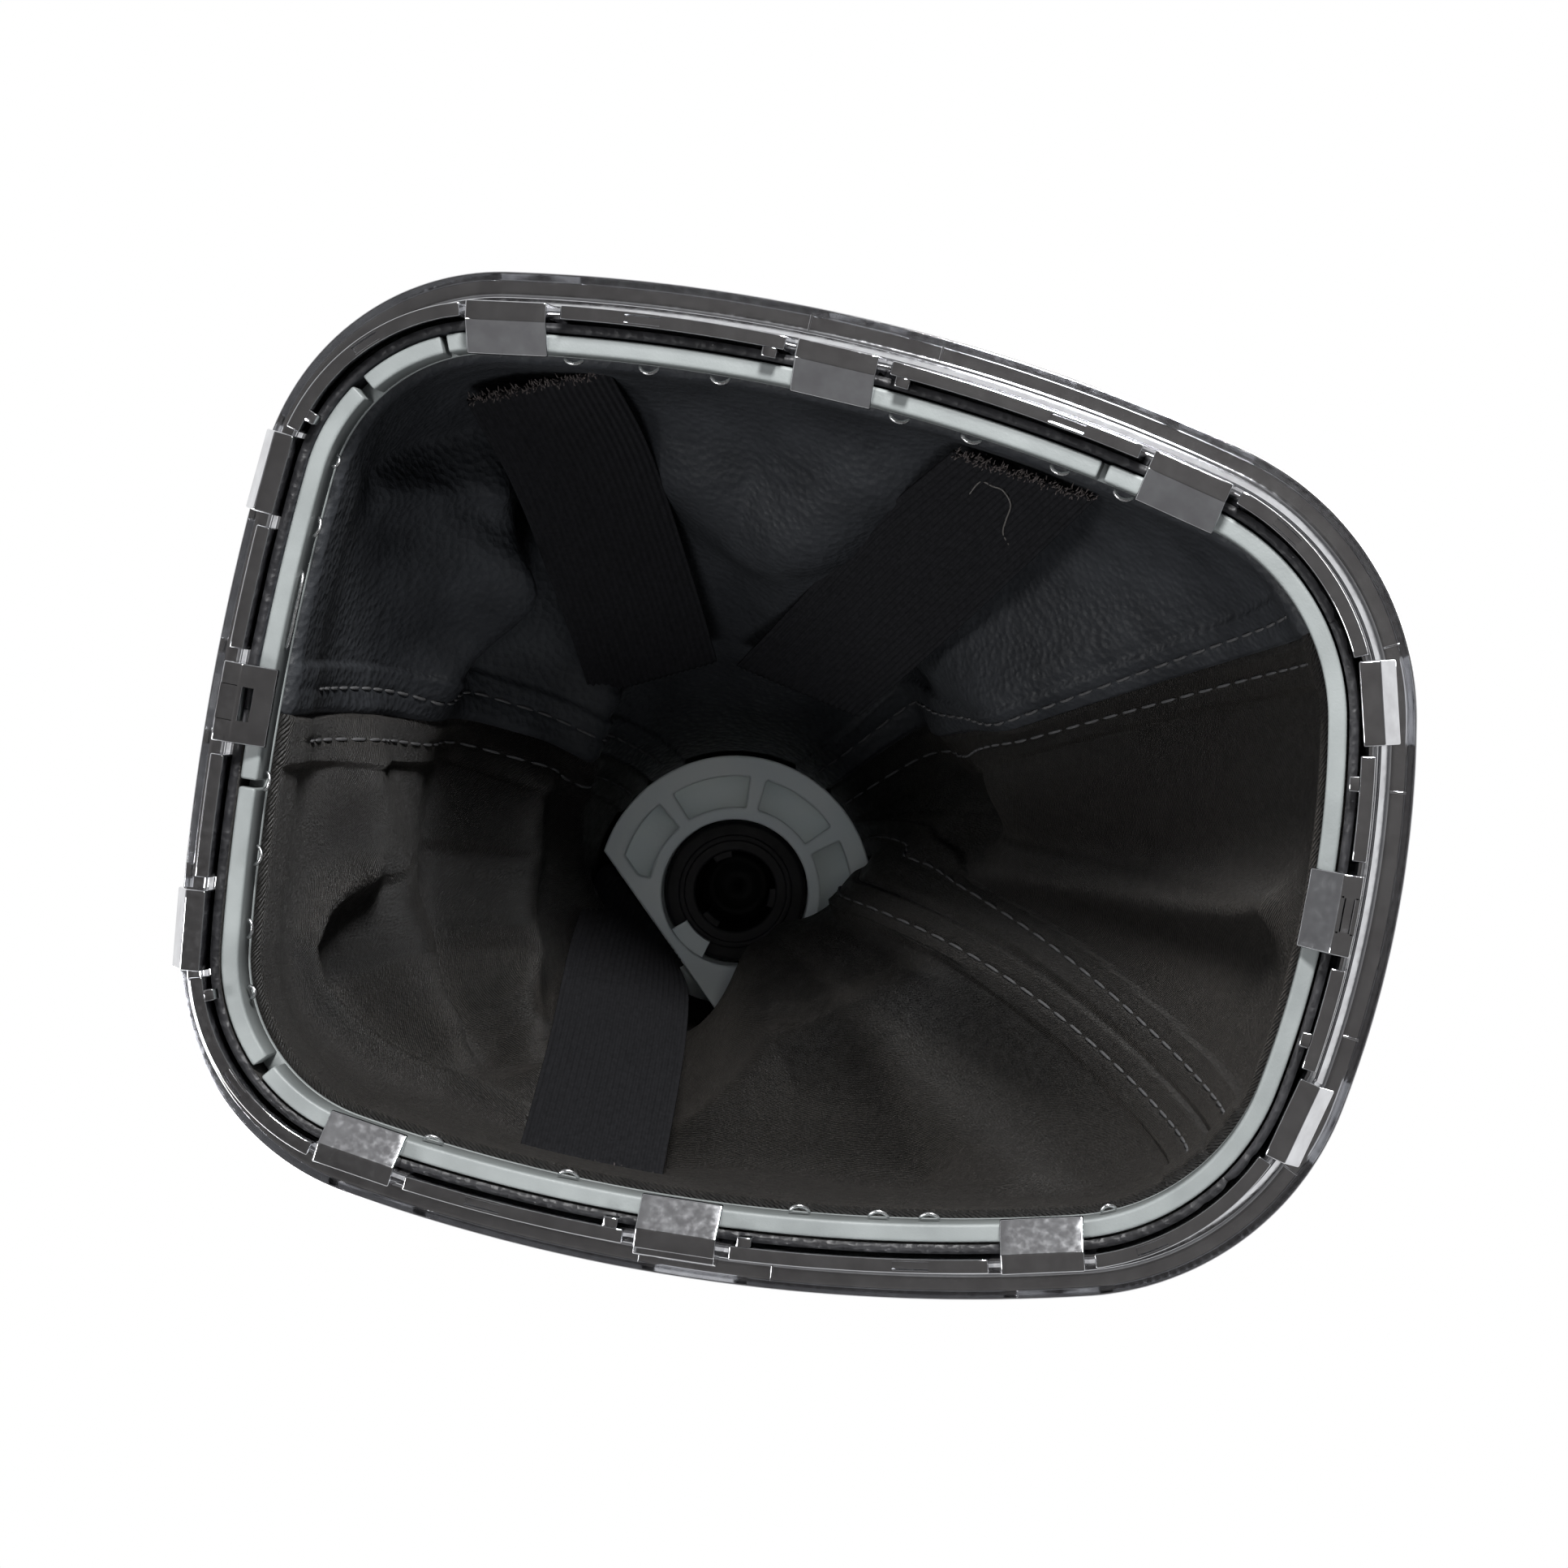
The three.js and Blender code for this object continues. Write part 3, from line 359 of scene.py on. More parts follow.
def run_length(points):
    """Distance from the first point along a line of points."""
    steps = np.linalg.norm(np.diff(points, axis=0), axis=-1)
    return np.concatenate([[0], np.cumsum(steps)])


def around(stations, other):
    return (stations - other + PERIMETER / 2) % PERIMETER - PERIMETER / 2


# Materials

def colour(red, green, blue):
    return (red, green, blue, 1.0)


def wired(tree, kind, inputs=None, **values):
    """Outputs of a new shader node, whose values are set and whose inputs are set or linked."""
    node = tree.nodes.new(kind)
    for key, value in values.items():
        setattr(node, key, value)
    for socket, given in (inputs or {}).items():
        if isinstance(given, bpy.types.NodeSocket):
            tree.links.new(given, node.inputs[socket])
        else:
            node.inputs[socket].default_value = given
    return node.outputs


def plain_material(name, base, roughness):
    material = bpy.data.materials.new(name)
    material.use_nodes = True
    shader = material.node_tree.nodes["Principled BSDF"]
    shader.inputs["Base Color"].default_value = colour(*base)
    shader.inputs["Roughness"].default_value = roughness
    return material, shader


class Finish:
    """A node material with one Principled shader and helpers for its procedural detail."""

    def __init__(self, name, base=(0.0, 0.0, 0.0), roughness=0.5, metallic=0.0, specular=0.5):
        self.material, self.shader = plain_material(name, base, roughness)
        self.tree = self.material.node_tree
        self.set("Metallic", metallic)
        self.set("Specular IOR Level", specular)
        self.height = None

    def set(self, socket, value):
        self.shader.inputs[socket].default_value = value

    def node(self, kind, inputs=None, **values):
        return wired(self.tree, kind, inputs, **values)

    def drive(self, socket, source):
        self.tree.links.new(source, self.shader.inputs[socket])

    def place(self, scale, turn=0.0, uv=False):
        """Texture coordinates in millimetres times the scale."""
        coordinates = self.node("ShaderNodeTexCoord")["UV" if uv else "Object"]
        length = 1.0 if uv else 1.0 / MM
        factor = scale if isinstance(scale, tuple) else (scale, scale, scale)
        return self.node("ShaderNodeMapping", {
            "Scale": [length * part for part in factor],
            "Rotation": (0, 0, math.radians(turn)), "Vector": coordinates})["Vector"]

    def noise(self, scale, detail=3.0, uv=False):
        return self.node("ShaderNodeTexNoise", {
            "Scale": 1.0, "Detail": detail, "Vector": self.place(scale, 0.0, uv)})["Fac"]

    def cells(self, scale):
        return self.node("ShaderNodeTexVoronoi", {
            "Scale": 1.0, "Smoothness": 0.35, "Vector": self.place(scale)},
            feature="SMOOTH_F1")["Distance"]

    def waves(self, scale, turn, distortion):
        return self.node("ShaderNodeTexWave", {
            "Scale": 1.0 / math.tau, "Distortion": distortion,
            "Vector": self.place(math.tau * scale, turn, True)},
            wave_type="BANDS", bands_direction="X")["Fac"]

    def ramp(self, source, low, high):
        """The middle of a noise's range spread from one value to another."""
        return self.node("ShaderNodeMapRange", {
            "From Min": 0.3, "From Max": 0.7, "To Min": low, "To Max": high,
            "Value": source})["Result"]

    def tint(self, source, first, second):
        self.drive("Base Color", self.node("ShaderNodeMix", {
            "A": colour(*first), "B": colour(*second), "Factor": self.ramp(source, 0.0, 1.0)},
            data_type="RGBA")["Result"])

    def rough(self, source, low, high):
        self.drive("Roughness", self.ramp(source, low, high))

    def bump(self, source, depth):
        """Adds a height in millimetres on the bumps so far."""
        inputs = {"Strength": 1.0, "Distance": depth * MM, "Height": source}
        if self.height is not None:
            inputs["Normal"] = self.height
        self.height = self.node("ShaderNodeBump", inputs)["Normal"]
        self.drive("Normal", self.height)


def drifting(name, sockets, tint=None, rough=None, bumps=()):
    """A finish whose colour and roughness drift between two ends, with bumps of some depths.

    Each noise is a scale per millimetre and a detail.
    """
    finish = Finish(name, **sockets)
    if tint:
        noise, first, second = tint
        finish.tint(finish.noise(*noise), first, second)
    if rough:
        noise, low, high = rough
        finish.rough(finish.noise(*noise), low, high)
    for noise, depth in bumps:
        finish.bump(finish.noise(*noise), depth)
    return finish


def grain_finish(name, base, light, roughness, depth):
    """Embossed leather: rounded pebbles with finer creases between them."""
    finish = drifting(name, {"roughness": roughness, "specular": 0.35}, ((0.1, 4.0), base, light),
                      ((1.3, 4.0), roughness - 0.08, roughness + 0.08), [((0.45, 4.0), 0.25)])
    finish.bump(finish.cells(0.95), depth)
    finish.bump(finish.noise(5.0), 0.03)
    return finish.material


def twill_finish():
    """Fabric back of the leather: fine slanting lines and a short nap."""
    finish = drifting("leather_back", {"roughness": 0.5, "specular": 0.34},
                      ((0.5, 6.0), (0.003, 0.0029, 0.0028), (0.0068, 0.0063, 0.0058)),
                      ((0.8, 4.0), 0.42, 0.6), [((0.4, 4.0), 0.25)])
    finish.bump(finish.waves(1.1, 68.0, 2.2), 0.22)
    finish.bump(finish.noise((2.2, 2.2, 2.2), 6.0, uv=True), 0.2)
    finish.set("Sheen Weight", 0.05)
    finish.set("Sheen Roughness", 0.4)
    finish.set("Sheen Tint", colour(0.9, 0.82, 0.74))
    return finish.material


def elastic_finish():
    finish = Finish("elastic", roughness=0.85, specular=0.08)
    finish.tint(finish.noise(1.5, 5.0), (0.0075, 0.0076, 0.0085), (0.013, 0.0131, 0.0147))
    finish.bump(finish.waves(1.4, 90.0, 0.4), 0.05)
    finish.bump(finish.noise(6.0), 0.05)
    return finish.material


def thread_finish(name, base):
    return drifting(name, {"roughness": 0.8, "specular": 0.2},
                    ((2.0,), tuple(0.7 * part for part in base), base),
                    bumps=[((7.0,), 0.05)]).material


def pale_plastic_finish():
    finish = drifting("pale_plastic", {"roughness": 0.42},
                      ((0.08,), (0.78, 0.84, 0.84), (0.88, 0.91, 0.88)), ((0.8,), 0.36, 0.55),
                      [((2.5,), 0.02)])
    finish.set("Subsurface Weight", 0.12)
    finish.set("Subsurface Radius", (2.0 * MM, 2.0 * MM, 2.2 * MM))
    return finish.material


def gloss_finish():
    finish = drifting("gloss_black", {"base": (0.008, 0.008, 0.009)}, None, ((0.6,), 0.06, 0.13),
                      [((0.3,), 0.01)])
    finish.set("Coat Weight", 0.5)
    return finish.material


CHROME = drifting("chrome", {"metallic": 1.0}, ((0.35,), (0.55, 0.55, 0.57), (0.68, 0.69, 0.71)),
                  ((1.1, 5.0), 0.05, 0.13), [((0.25,), 0.008), ((2.0, 5.0), 0.0006)]).material
GREY_PLASTIC = drifting("grey_plastic", {"roughness": 0.5},
                        ((0.12,), (0.14, 0.152, 0.151), (0.19, 0.205, 0.203)),
                        bumps=[((3.0,), 0.03)]).material
PALE_PLASTIC = pale_plastic_finish()
GRAIN_INSIDE = grain_finish("leather_grain", (0.0125, 0.0135, 0.0155), (0.023, 0.0248, 0.028),
                            0.56, 0.22)
GRAIN_OUTSIDE = grain_finish("leather_outside", (0.01, 0.01, 0.011), (0.018, 0.018, 0.02),
                             0.48, 0.2)
TWILL = twill_finish()
GRIP = grain_finish("grip_leather", (0.01, 0.01, 0.011), (0.016, 0.016, 0.018), 0.42, 0.1)
ELASTIC = elastic_finish()
THREAD_GREY = thread_finish("thread", (0.07, 0.07, 0.072))
THREAD_FRAY = thread_finish("thread_fray", (0.08, 0.069, 0.067))
THREAD_PALE = thread_finish("thread_pale", (0.1, 0.095, 0.09))
THREAD_DARK = thread_finish("thread_dark", (0.05, 0.05, 0.052))
STEEL = drifting("steel_wire", {"base": (0.75, 0.76, 0.77), "metallic": 1.0}, None,
                 ((2.0,), 0.18, 0.36), [((2.4,), 0.02)]).material
BLACK_PLASTIC = drifting("black_plastic", {}, ((0.2,), (0.009, 0.009, 0.01), (0.018, 0.018, 0.02)),
                         ((1.2,), 0.34, 0.5), [((3.5,), 0.02)]).material
GLOSS = gloss_finish()


# Meshes

class Build:
    """Collects points and faces of one piece."""

    def __init__(self):
        self.points = []
        self.faces = []
        self.slots = []
        self.count = 0

    def add(self, points, faces, slot=0):
        points = np.asarray(points, float).reshape(-1, 3)
        self.points.append(points)
        self.faces.extend(tuple(int(k) + self.count for k in face) for face in faces)
        self.slots.extend([slot] * len(faces))
        self.count += len(points)

    def piece(self, name, materials, record_slot, replaced=(), weighted=False):
        mesh = smooth_mesh(name, np.concatenate(self.points), self.faces, self.slots, materials)
        mesh.validate()
        settle(bpy.data.objects.new(name, mesh), replaced, weighted)


def smooth_mesh(name, points, faces, indexes, materials):
    mesh = bpy.data.meshes.new(name)
    mesh.from_pydata((points * MM).tolist(), [], faces)
    for material in materials:
        mesh.materials.append(material)
    mesh.polygons.foreach_set("material_index", indexes)
    mesh.polygons.foreach_set("use_smooth", [True] * len(faces))
    return mesh


def settle(piece, replaced=(), weighted=False):
    """Puts a piece in the scene, on its body and in place of its CAD nodes."""
    bpy.context.scene.collection.objects.link(piece)
    if weighted:
        modifier = piece.modifiers.new("weighted", "WEIGHTED_NORMAL")
        modifier.weight = 70
        modifier.keep_sharp = True
    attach(piece, "root")
    if replaced:
        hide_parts(*replaced)
    return piece


def rounded(section, radii, steps=3):
    """Rounds the corners of a section by a quadratic curve from edge to edge."""
    section = np.asarray(section, float)
    result = []
    for corner, before, after, radius in zip(section, np.roll(section, 1, 0),
                                             np.roll(section, -1, 0),
                                             np.broadcast_to(radii, len(section))):
        if radius == 0:
            result.append(corner)
            continue
        start, end = [corner + unit(away) * min(radius, LONGEST_ROUND * np.linalg.norm(away))
                      for away in (before - corner, after - corner)]
        for share in np.linspace(0, 1, steps + 1):
            result.append((1 - share) ** 2 * start + 2 * share * (1 - share) * corner
                          + share ** 2 * end)
    return np.array(result)


def block(left, right, low, high):
    """Corners of a four-cornered section."""
    return [[left, low], [right, low], [right, high], [left, high]]


def shrunk(section, distance):
    """Moves each point of a section inwards along its bisector."""
    area = 0.5 * np.sum(section[:, 0] * np.roll(section[:, 1], -1)
                        - np.roll(section[:, 0], -1) * section[:, 1])
    turn = 1 if area > 0 else -1
    both = unit(np.roll(section, -1, 0) - section) + unit(section - np.roll(section, 1, 0))
    normal = turn * np.stack([-both[:, 1], both[:, 0]], -1)
    size = np.maximum(np.linalg.norm(normal, axis=1, keepdims=True), SHARPEST_CORNER)
    return section + normal / size * distance


def band_faces(rings, wide, closed=True):
    """Faces between rings of points, the last ring joined to the first where the band is closed."""
    faces = []
    for i in range(rings if closed else rings - 1):
        following = (i + 1) % rings
        for j in range(wide):
            step = (j + 1) % wide
            faces.append((i * wide + j, i * wide + step, following * wide + step,
                          following * wide + j))
    return faces


def loft_faces(rings, wide):
    """Faces between rings of points, with end caps."""
    first = tuple(range(wide))
    last = tuple((rings - 1) * wide + j for j in range(wide))
    return [*band_faces(rings, wide, False), first[::-1], last]


def outward_faces(points, faces):
    """Turns the faces round if they point into the solid."""
    volume = 0.0
    for face in faces:
        first = points[face[0]]
        for k in range(1, len(face) - 1):
            volume += np.dot(first, np.cross(points[face[k]], points[face[k + 1]]))
    return faces if volume > 0 else [face[::-1] for face in faces]


def run_on_outline(build, section, start, end, bevels=(EDGE, EDGE), straight=False):
    """A prism along the outline from one station to another, with bevelled ends."""
    section = np.asarray(section, float)
    rings = []
    inner = max(2, int(math.ceil((end - start) / RUN_STEP)) + 1)
    places = np.linspace(start + bevels[0], end - bevels[1], inner)
    if bevels[0]:
        rings.append((start, shrunk(section, bevels[0])))
        rings.append((start + 0.3 * bevels[0], shrunk(section, 0.3 * bevels[0])))
    rings.extend((place, section) for place in places)
    if bevels[1]:
        rings.append((end - 0.3 * bevels[1], shrunk(section, 0.3 * bevels[1])))
        rings.append((end, shrunk(section, bevels[1])))
    points = []
    middle = (start + end) / 2
    for place, form in rings:
        if straight:
            base, outward = outline(middle, 0.0)
            along = np.array([-outward[1], outward[0]])
            flat = base - np.outer(form[:, 0], outward) + along * (place - middle)
            points.append(np.concatenate([flat, form[:, 1:]], 1))
        else:
            points.append(on_outline(np.full(len(form), place), form[:, 0], form[:, 1]))
    points = np.concatenate(points)
    faces = outward_faces(points, loft_faces(len(rings), len(section)))
    sides = faces[:-2]
    for bevel, cap in zip(bevels, faces[-2:]):
        if bevel:
            sides.append(cap)
        else:
            build.add(points[list(cap)], [range(len(cap))])
    build.add(points, sides)


def ring_on_outline(build, section):
    """A closed section that goes right round the outline."""
    section = np.asarray(section, float)
    stations = np.linspace(0, PERIMETER, RING_STEPS, endpoint=False)
    points = on_outline(stations[:, None], section[None, :, 0], section[None, :, 1]).reshape(-1, 3)
    build.add(points, outward_faces(points, band_faces(RING_STEPS, len(section))))


def wall_outer(height):
    """Inset of the wall's outer face, which leans a little."""
    return OVERHANG - WALL_DRAFT * (height - WALL_FOOT) / (SEAT_HEIGHT - WALL_FOOT)


def bezel(build):
    section = [
        [WALL_INNER, SLOT_HEIGHT],
        [wall_outer(SLOT_HEIGHT), SLOT_HEIGHT],
        [OVERHANG - WALL_DRAFT, SEAT_HEIGHT - FILLET],
        [OVERHANG - WALL_DRAFT - FILLET, SEAT_HEIGHT],
        [1.2, SEAT_HEIGHT],
        [0.2, LIP_HEIGHT],
        [0.0, LIP_HEIGHT + 0.3],
        [0.3, SEAT_HEIGHT + 1.2],
        [1.8, CROWN_HEIGHT - 1.2],
        [4.8, CROWN_HEIGHT],
        [BEZEL_WIDTH - 1.9, CROWN_HEIGHT - 0.5],
        [BEZEL_WIDTH, CROWN_HEIGHT - 2.4],
        [BEZEL_WIDTH - 0.2, INNER_LIP_HEIGHT - 2.2],
        [BEZEL_WIDTH - BEZEL_SHEET, INNER_LIP_HEIGHT - 2.2],
        [BEZEL_WIDTH - BEZEL_SHEET - 0.3, INNER_LIP_HEIGHT - 0.2],
        [WALL_INNER, INNER_LIP_HEIGHT - 0.2],
    ]
    radii = [0, 0, 0.5, 0.5, 0.25, 0.15, 0.25, 0.9, 1.6, 1.4, 1.2, 0.9, 0.3, 0.3, 0.4, 0.3]
    ring_on_outline(build, rounded(section, radii))


def wall_section(grooved=False):
    groove = [
        [OVERHANG + 1.35, WALL_FOOT],
        [OVERHANG + 1.35, WALL_FOOT + POCKET_DEPTH],
        [OVERHANG + 1.35 - POCKET_WIDTH, WALL_FOOT + POCKET_DEPTH],
        [OVERHANG + 1.35 - POCKET_WIDTH, WALL_FOOT],
    ]
    section = [[WALL_INNER, WALL_FOOT], *(groove if grooved else []), [OVERHANG, WALL_FOOT],
               [wall_outer(SLOT_HEIGHT), SLOT_HEIGHT], [WALL_INNER, SLOT_HEIGHT]]
    radii = [EDGE, *([0.1, 0.14, 0.14, 0.1] if grooved else []), EDGE, 0, 0]
    return rounded(section, radii)


def wall_runs(build):
    """The wall between the slots, with its pockets."""
    cuts = sorted(station % PERIMETER for station in
                  [0, PERIMETER / 2, *mirrored(TAB_STATIONS), *mirrored(HOOK_STATIONS)])
    reach = TAB_WIDTH / 2 + SLOT_WIDTH
    plain = wall_section()
    grooved = wall_section(True)
    pockets = sorted(mirrored(POCKET_STATIONS))
    for k, cut in enumerate(cuts):
        start = cut + reach
        end = (cuts[k + 1] if k + 1 < len(cuts) else cuts[0] + PERIMETER) - reach
        inside = [place for place in pockets if start < place < end]
        last = start
        for place in inside:
            run_on_outline(build, plain, last, place - POCKET_LENGTH / 2,
                           (EDGE if last == start else 0, 0))
            run_on_outline(build, grooved, place - POCKET_LENGTH / 2, place + POCKET_LENGTH / 2,
                           (0, 0))
            last = place + POCKET_LENGTH / 2
        run_on_outline(build, plain, last, end, (EDGE if last == start else 0, EDGE))


def tab_section(lip=False):
    barb = [
        [OVERHANG + 0.08, HOOK_HEIGHT],
        [OVERHANG - LIP_BARB, WALL_FOOT + 3],
        [OVERHANG - LIP_BARB, WALL_FOOT + 2.4],
        [OVERHANG - HOOK_TIP, WALL_FOOT - 0.4],
        [OVERHANG, WALL_FOOT - 0.4],
    ]
    section = [[OVERHANG, 0], [OVERHANG + TAB_STRIP, 0], [TAB_END, TAB_THICKNESS - TAB_TIP],
               [TAB_END, TAB_THICKNESS], [WALL_INNER, TAB_THICKNESS], [WALL_INNER, SLOT_HEIGHT],
               [wall_outer(SLOT_HEIGHT), SLOT_HEIGHT], *(barb if lip else [])]
    radii = [EDGE, 0.12, EDGE, EDGE, 0.3, 0, 0, *([EDGE] * 4 + [0.05] if lip else [])]
    return rounded(section, radii)


def windowed_tab(build, station, middle, outer):
    """A tab whose inner strip has a small window through it."""
    half = TAB_WIDTH / 2
    window = WINDOW_LENGTH / 2
    full = tab_section()
    run_on_outline(build, full, station - half, station - window, (EDGE, 0), True)
    run_on_outline(build, full, station + window, station + half, (0, EDGE), True)
    low = middle - WINDOW_WIDTH / 2
    high = middle + WINDOW_WIDTH / 2

    def underside(inset):
        slope = (TAB_THICKNESS - TAB_TIP) / (TAB_END - OVERHANG - TAB_STRIP)
        return max(0.0, (inset - OVERHANG - TAB_STRIP) * slope)

    run_on_outline(build, rounded(outer(low, underside), 0.1), station - window, station + window,
                   (0, 0), True)
    inner = [[high, underside(high)], [max(high, OVERHANG + TAB_STRIP), underside(high)],
             [TAB_END, TAB_THICKNESS - TAB_TIP], [TAB_END, TAB_THICKNESS], [high, TAB_THICKNESS]]
    if high > OVERHANG + TAB_STRIP:
        inner.pop(1)
    run_on_outline(build, rounded(inner, 0.12), station - window, station + window, (0, 0), True)


def outer_of_right_window(low, underside):
    return [[OVERHANG, 0], [low, underside(low)], [low, WINDOW_DEPTH], [WALL_INNER, WINDOW_DEPTH],
            [WALL_INNER, SLOT_HEIGHT], [wall_outer(SLOT_HEIGHT), SLOT_HEIGHT]]


def outer_of_left_window(low, underside):
    return [[OVERHANG, 0], [OVERHANG + TAB_STRIP, 0], [low, underside(low)], [low, TAB_THICKNESS],
            [WALL_INNER, TAB_THICKNESS], [WALL_INNER, SLOT_HEIGHT],
            [wall_outer(SLOT_HEIGHT), SLOT_HEIGHT]]


def tabs(build):
    half = TAB_WIDTH / 2
    windowed_tab(build, 0, WINDOW_RIGHT, outer_of_right_window)
    windowed_tab(build, PERIMETER / 2, WINDOW_LEFT, outer_of_left_window)
    for station in mirrored(TAB_STATIONS):
        lip = min(station, PERIMETER - station) == LIP_STATION
        run_on_outline(build, tab_section(lip), station - half, station + half, straight=True)


def hooks(build):
    section = [[WALL_INNER, WALL_FOOT - 0.4], [OVERHANG - HOOK_TIP, WALL_FOOT - 0.4],
               [OVERHANG - HOOK_BARB, WALL_FOOT + 2.4], [OVERHANG - HOOK_BARB, WALL_FOOT + 3],
               [OVERHANG - 0.1, HOOK_HEIGHT], [wall_outer(SLOT_HEIGHT), SLOT_HEIGHT],
               [WALL_INNER, SLOT_HEIGHT]]
    form = rounded(section, [EDGE, EDGE, EDGE, EDGE, 0.4, 0, 0])
    half = TAB_WIDTH / 2
    for station in mirrored(HOOK_STATIONS):
        run_on_outline(build, form, station - half, station + half, straight=True)


def small_forms(build):
    """Stop blocks inside the wall, and the fine parting lines under the bezel."""
    stop = rounded(block(WALL_INNER, WALL_INNER + STOP_REACH, WALL_FOOT, WALL_FOOT + STOP_HEIGHT),
                   [0.05, EDGE, EDGE, 0.05])
    for station in mirrored(STOP_STATIONS):
        run_on_outline(build, stop, station - STOP_LENGTH / 2, station + STOP_LENGTH / 2)
    line = rounded([[0.9, SEAT_HEIGHT + 0.1], [0.9, SEAT_HEIGHT - 0.12],
                    [OVERHANG - WALL_DRAFT - FILLET, SEAT_HEIGHT - 0.12],
                    [OVERHANG - WALL_DRAFT - FILLET, SEAT_HEIGHT + 0.1]], 0.08)
    for station in mirrored(PARTING_STATIONS):
        run_on_outline(build, line, station - 0.14, station + 0.14, (0.08, 0.08))


def trim_frame():
    build = Build()
    bezel(build)
    wall_runs(build)
    tabs(build)
    hooks(build)
    small_forms(build)
    build.piece("trim_frame_chrome", [CHROME], "chrome", ["trim_frame"], weighted=True)


def retainer_ring():
    build = Build()
    split = RING_TOP - RING_WEB
    body = rounded(block(RING_INSET, RING_INNER, RING_FOOT, split), [0.45, 0.45, 0, 0])
    web = rounded(block(RING_INSET, RING_INNER, split, RING_TOP), [0, 0, 0.3, 0.3])
    ring_on_outline(build, web)
    gaps = sorted(NOTCHES)
    for k, (station, width) in enumerate(gaps):
        after, after_width = gaps[k + 1] if k + 1 < len(gaps) else (gaps[0][0] + PERIMETER,
                                                                  gaps[0][1])
        run_on_outline(build, body, station + width / 2, after - after_width / 2, (0.3, 0.3))
    build.piece("retainer_ring_moulding", [GREY_PLASTIC], "grey_plastic", ["retainer_ring"],
                weighted=True)


def tube(build, path, radius, sides=10, slot=0):
    """A round wire along points, with rounded ends."""
    path = np.asarray(path, float)
    tangent = unit(np.gradient(path, axis=0))
    across = np.cross(tangent, [0.0, 0.0, 1.0])
    flat = np.linalg.norm(across, axis=1) < 1e-3
    across[flat] = [1.0, 0.0, 0.0]
    across = unit(across)
    other = np.cross(tangent, across)
    turns = np.linspace(0, math.tau, sides, endpoint=False)
    sizes = np.full(len(path), float(radius))
    sizes[[0, -1]] *= WIRE_END
    rings = [point + size * (np.outer(np.cos(turns), side) + np.outer(np.sin(turns), rise))
             for point, size, side, rise in zip(path, sizes, across, other)]
    points = np.concatenate(rings)
    build.add(points, outward_faces(points, loft_faces(len(path), sides)), slot)


def staples():
    """Clinched staple ends: short arches of wire that come out of the ring and lie back on it."""
    wobble = random.Random(SEED)
    for index, station in enumerate(TIP_STATIONS):
        build = Build()
        shares = np.linspace(-1, 1, 15)
        twist = wobble.uniform(-TIP_TWIST, TIP_TWIST)
        rise = TIP_RISE * wobble.uniform(0.75, 1.15)
        inset = RING_INNER + WIRE / 2 + 0.05 + rise * (1 - shares ** 2) ** 0.7
        height = STAPLE_Z - TIP_SINK * (1 - shares ** 2) + twist * shares
        path = on_outline(station + shares * TIP_LENGTH / 2, inset, height)
        tube(build, path, WIRE / 2)
        name = f"staple_tip_{index + 1:02d}"
        build.piece(name + "_wire", [STEEL], "steel_wire", [name])
    build = Build()
    shares = np.linspace(-1, 1, 25)
    bend = 1 - np.abs(shares) ** 6
    path = on_outline(CROWN_STATION + shares * CROWN_LENGTH / 2,
                      RING_INNER + 0.1 + (WIRE / 2 + 0.2) * bend, STAPLE_Z - CROWN_SINK * bend)
    tube(build, path, WIRE / 2)
    build.piece("staple_crown_wire", [STEEL], "steel_wire", ["staple_crown"])


# Gaiter

def neck_angle(stations):
    knots = [(SEAMS[2][0] - PERIMETER, SEAMS[2][1] - 360), *SEAMS,
             (SEAMS[0][0] + PERIMETER, SEAMS[0][1] + 360)]
    stations = np.asarray(stations, float)
    turns = np.floor((stations - knots[0][0]) / PERIMETER)
    places = stations - turns * PERIMETER
    return np.interp(places, [k[0] for k in knots], [k[1] for k in knots]) + 360 * turns


def body_points(stations, rows):
    """The smooth gaiter: a Bezier curve from the opening of the frame to the neck."""
    stations, rows = np.broadcast_arrays(np.asarray(stations, float), np.asarray(rows, float))
    foot = on_outline(stations, GAITER_INSET, OPENING_HEIGHT)
    _, outward = outline(stations, GAITER_INSET)
    angle = neck_angle(stations)
    head = on_lever(np.full(stations.shape, -1.0), FLANGE_NECK, angle)
    shoulder = on_lever(np.full(stations.shape, -1.0 - SHOULDER_DROP),
                        FLANGE_NECK + SHOULDER_OUT, angle)
    belly = foot + np.concatenate(
        [outward * BELLY_OUT, np.full(outward.shape[:-1] + (1,), BELLY_LIFT)], -1)
    share = rows[..., None]
    rest = 1 - share
    return (rest ** 3 * foot + 3 * rest ** 2 * share * belly + 3 * rest * share ** 2 * shoulder
            + share ** 3 * head)


def inward_directions(stations, rows):
    run = body_points(stations + SLOPE_SPAN, rows) - body_points(stations - SLOPE_SPAN, rows)
    rise = body_points(stations, np.minimum(1, rows + 0.01)) - body_points(
        stations, np.maximum(0, rows - 0.01))
    return unit(np.cross(rise, run))


def station_length(stations, rows):
    """Millimetres of leather for one millimetre of the outline."""
    return np.linalg.norm(body_points(stations + 0.5, rows) - body_points(stations - 0.5, rows),
                          axis=-1)


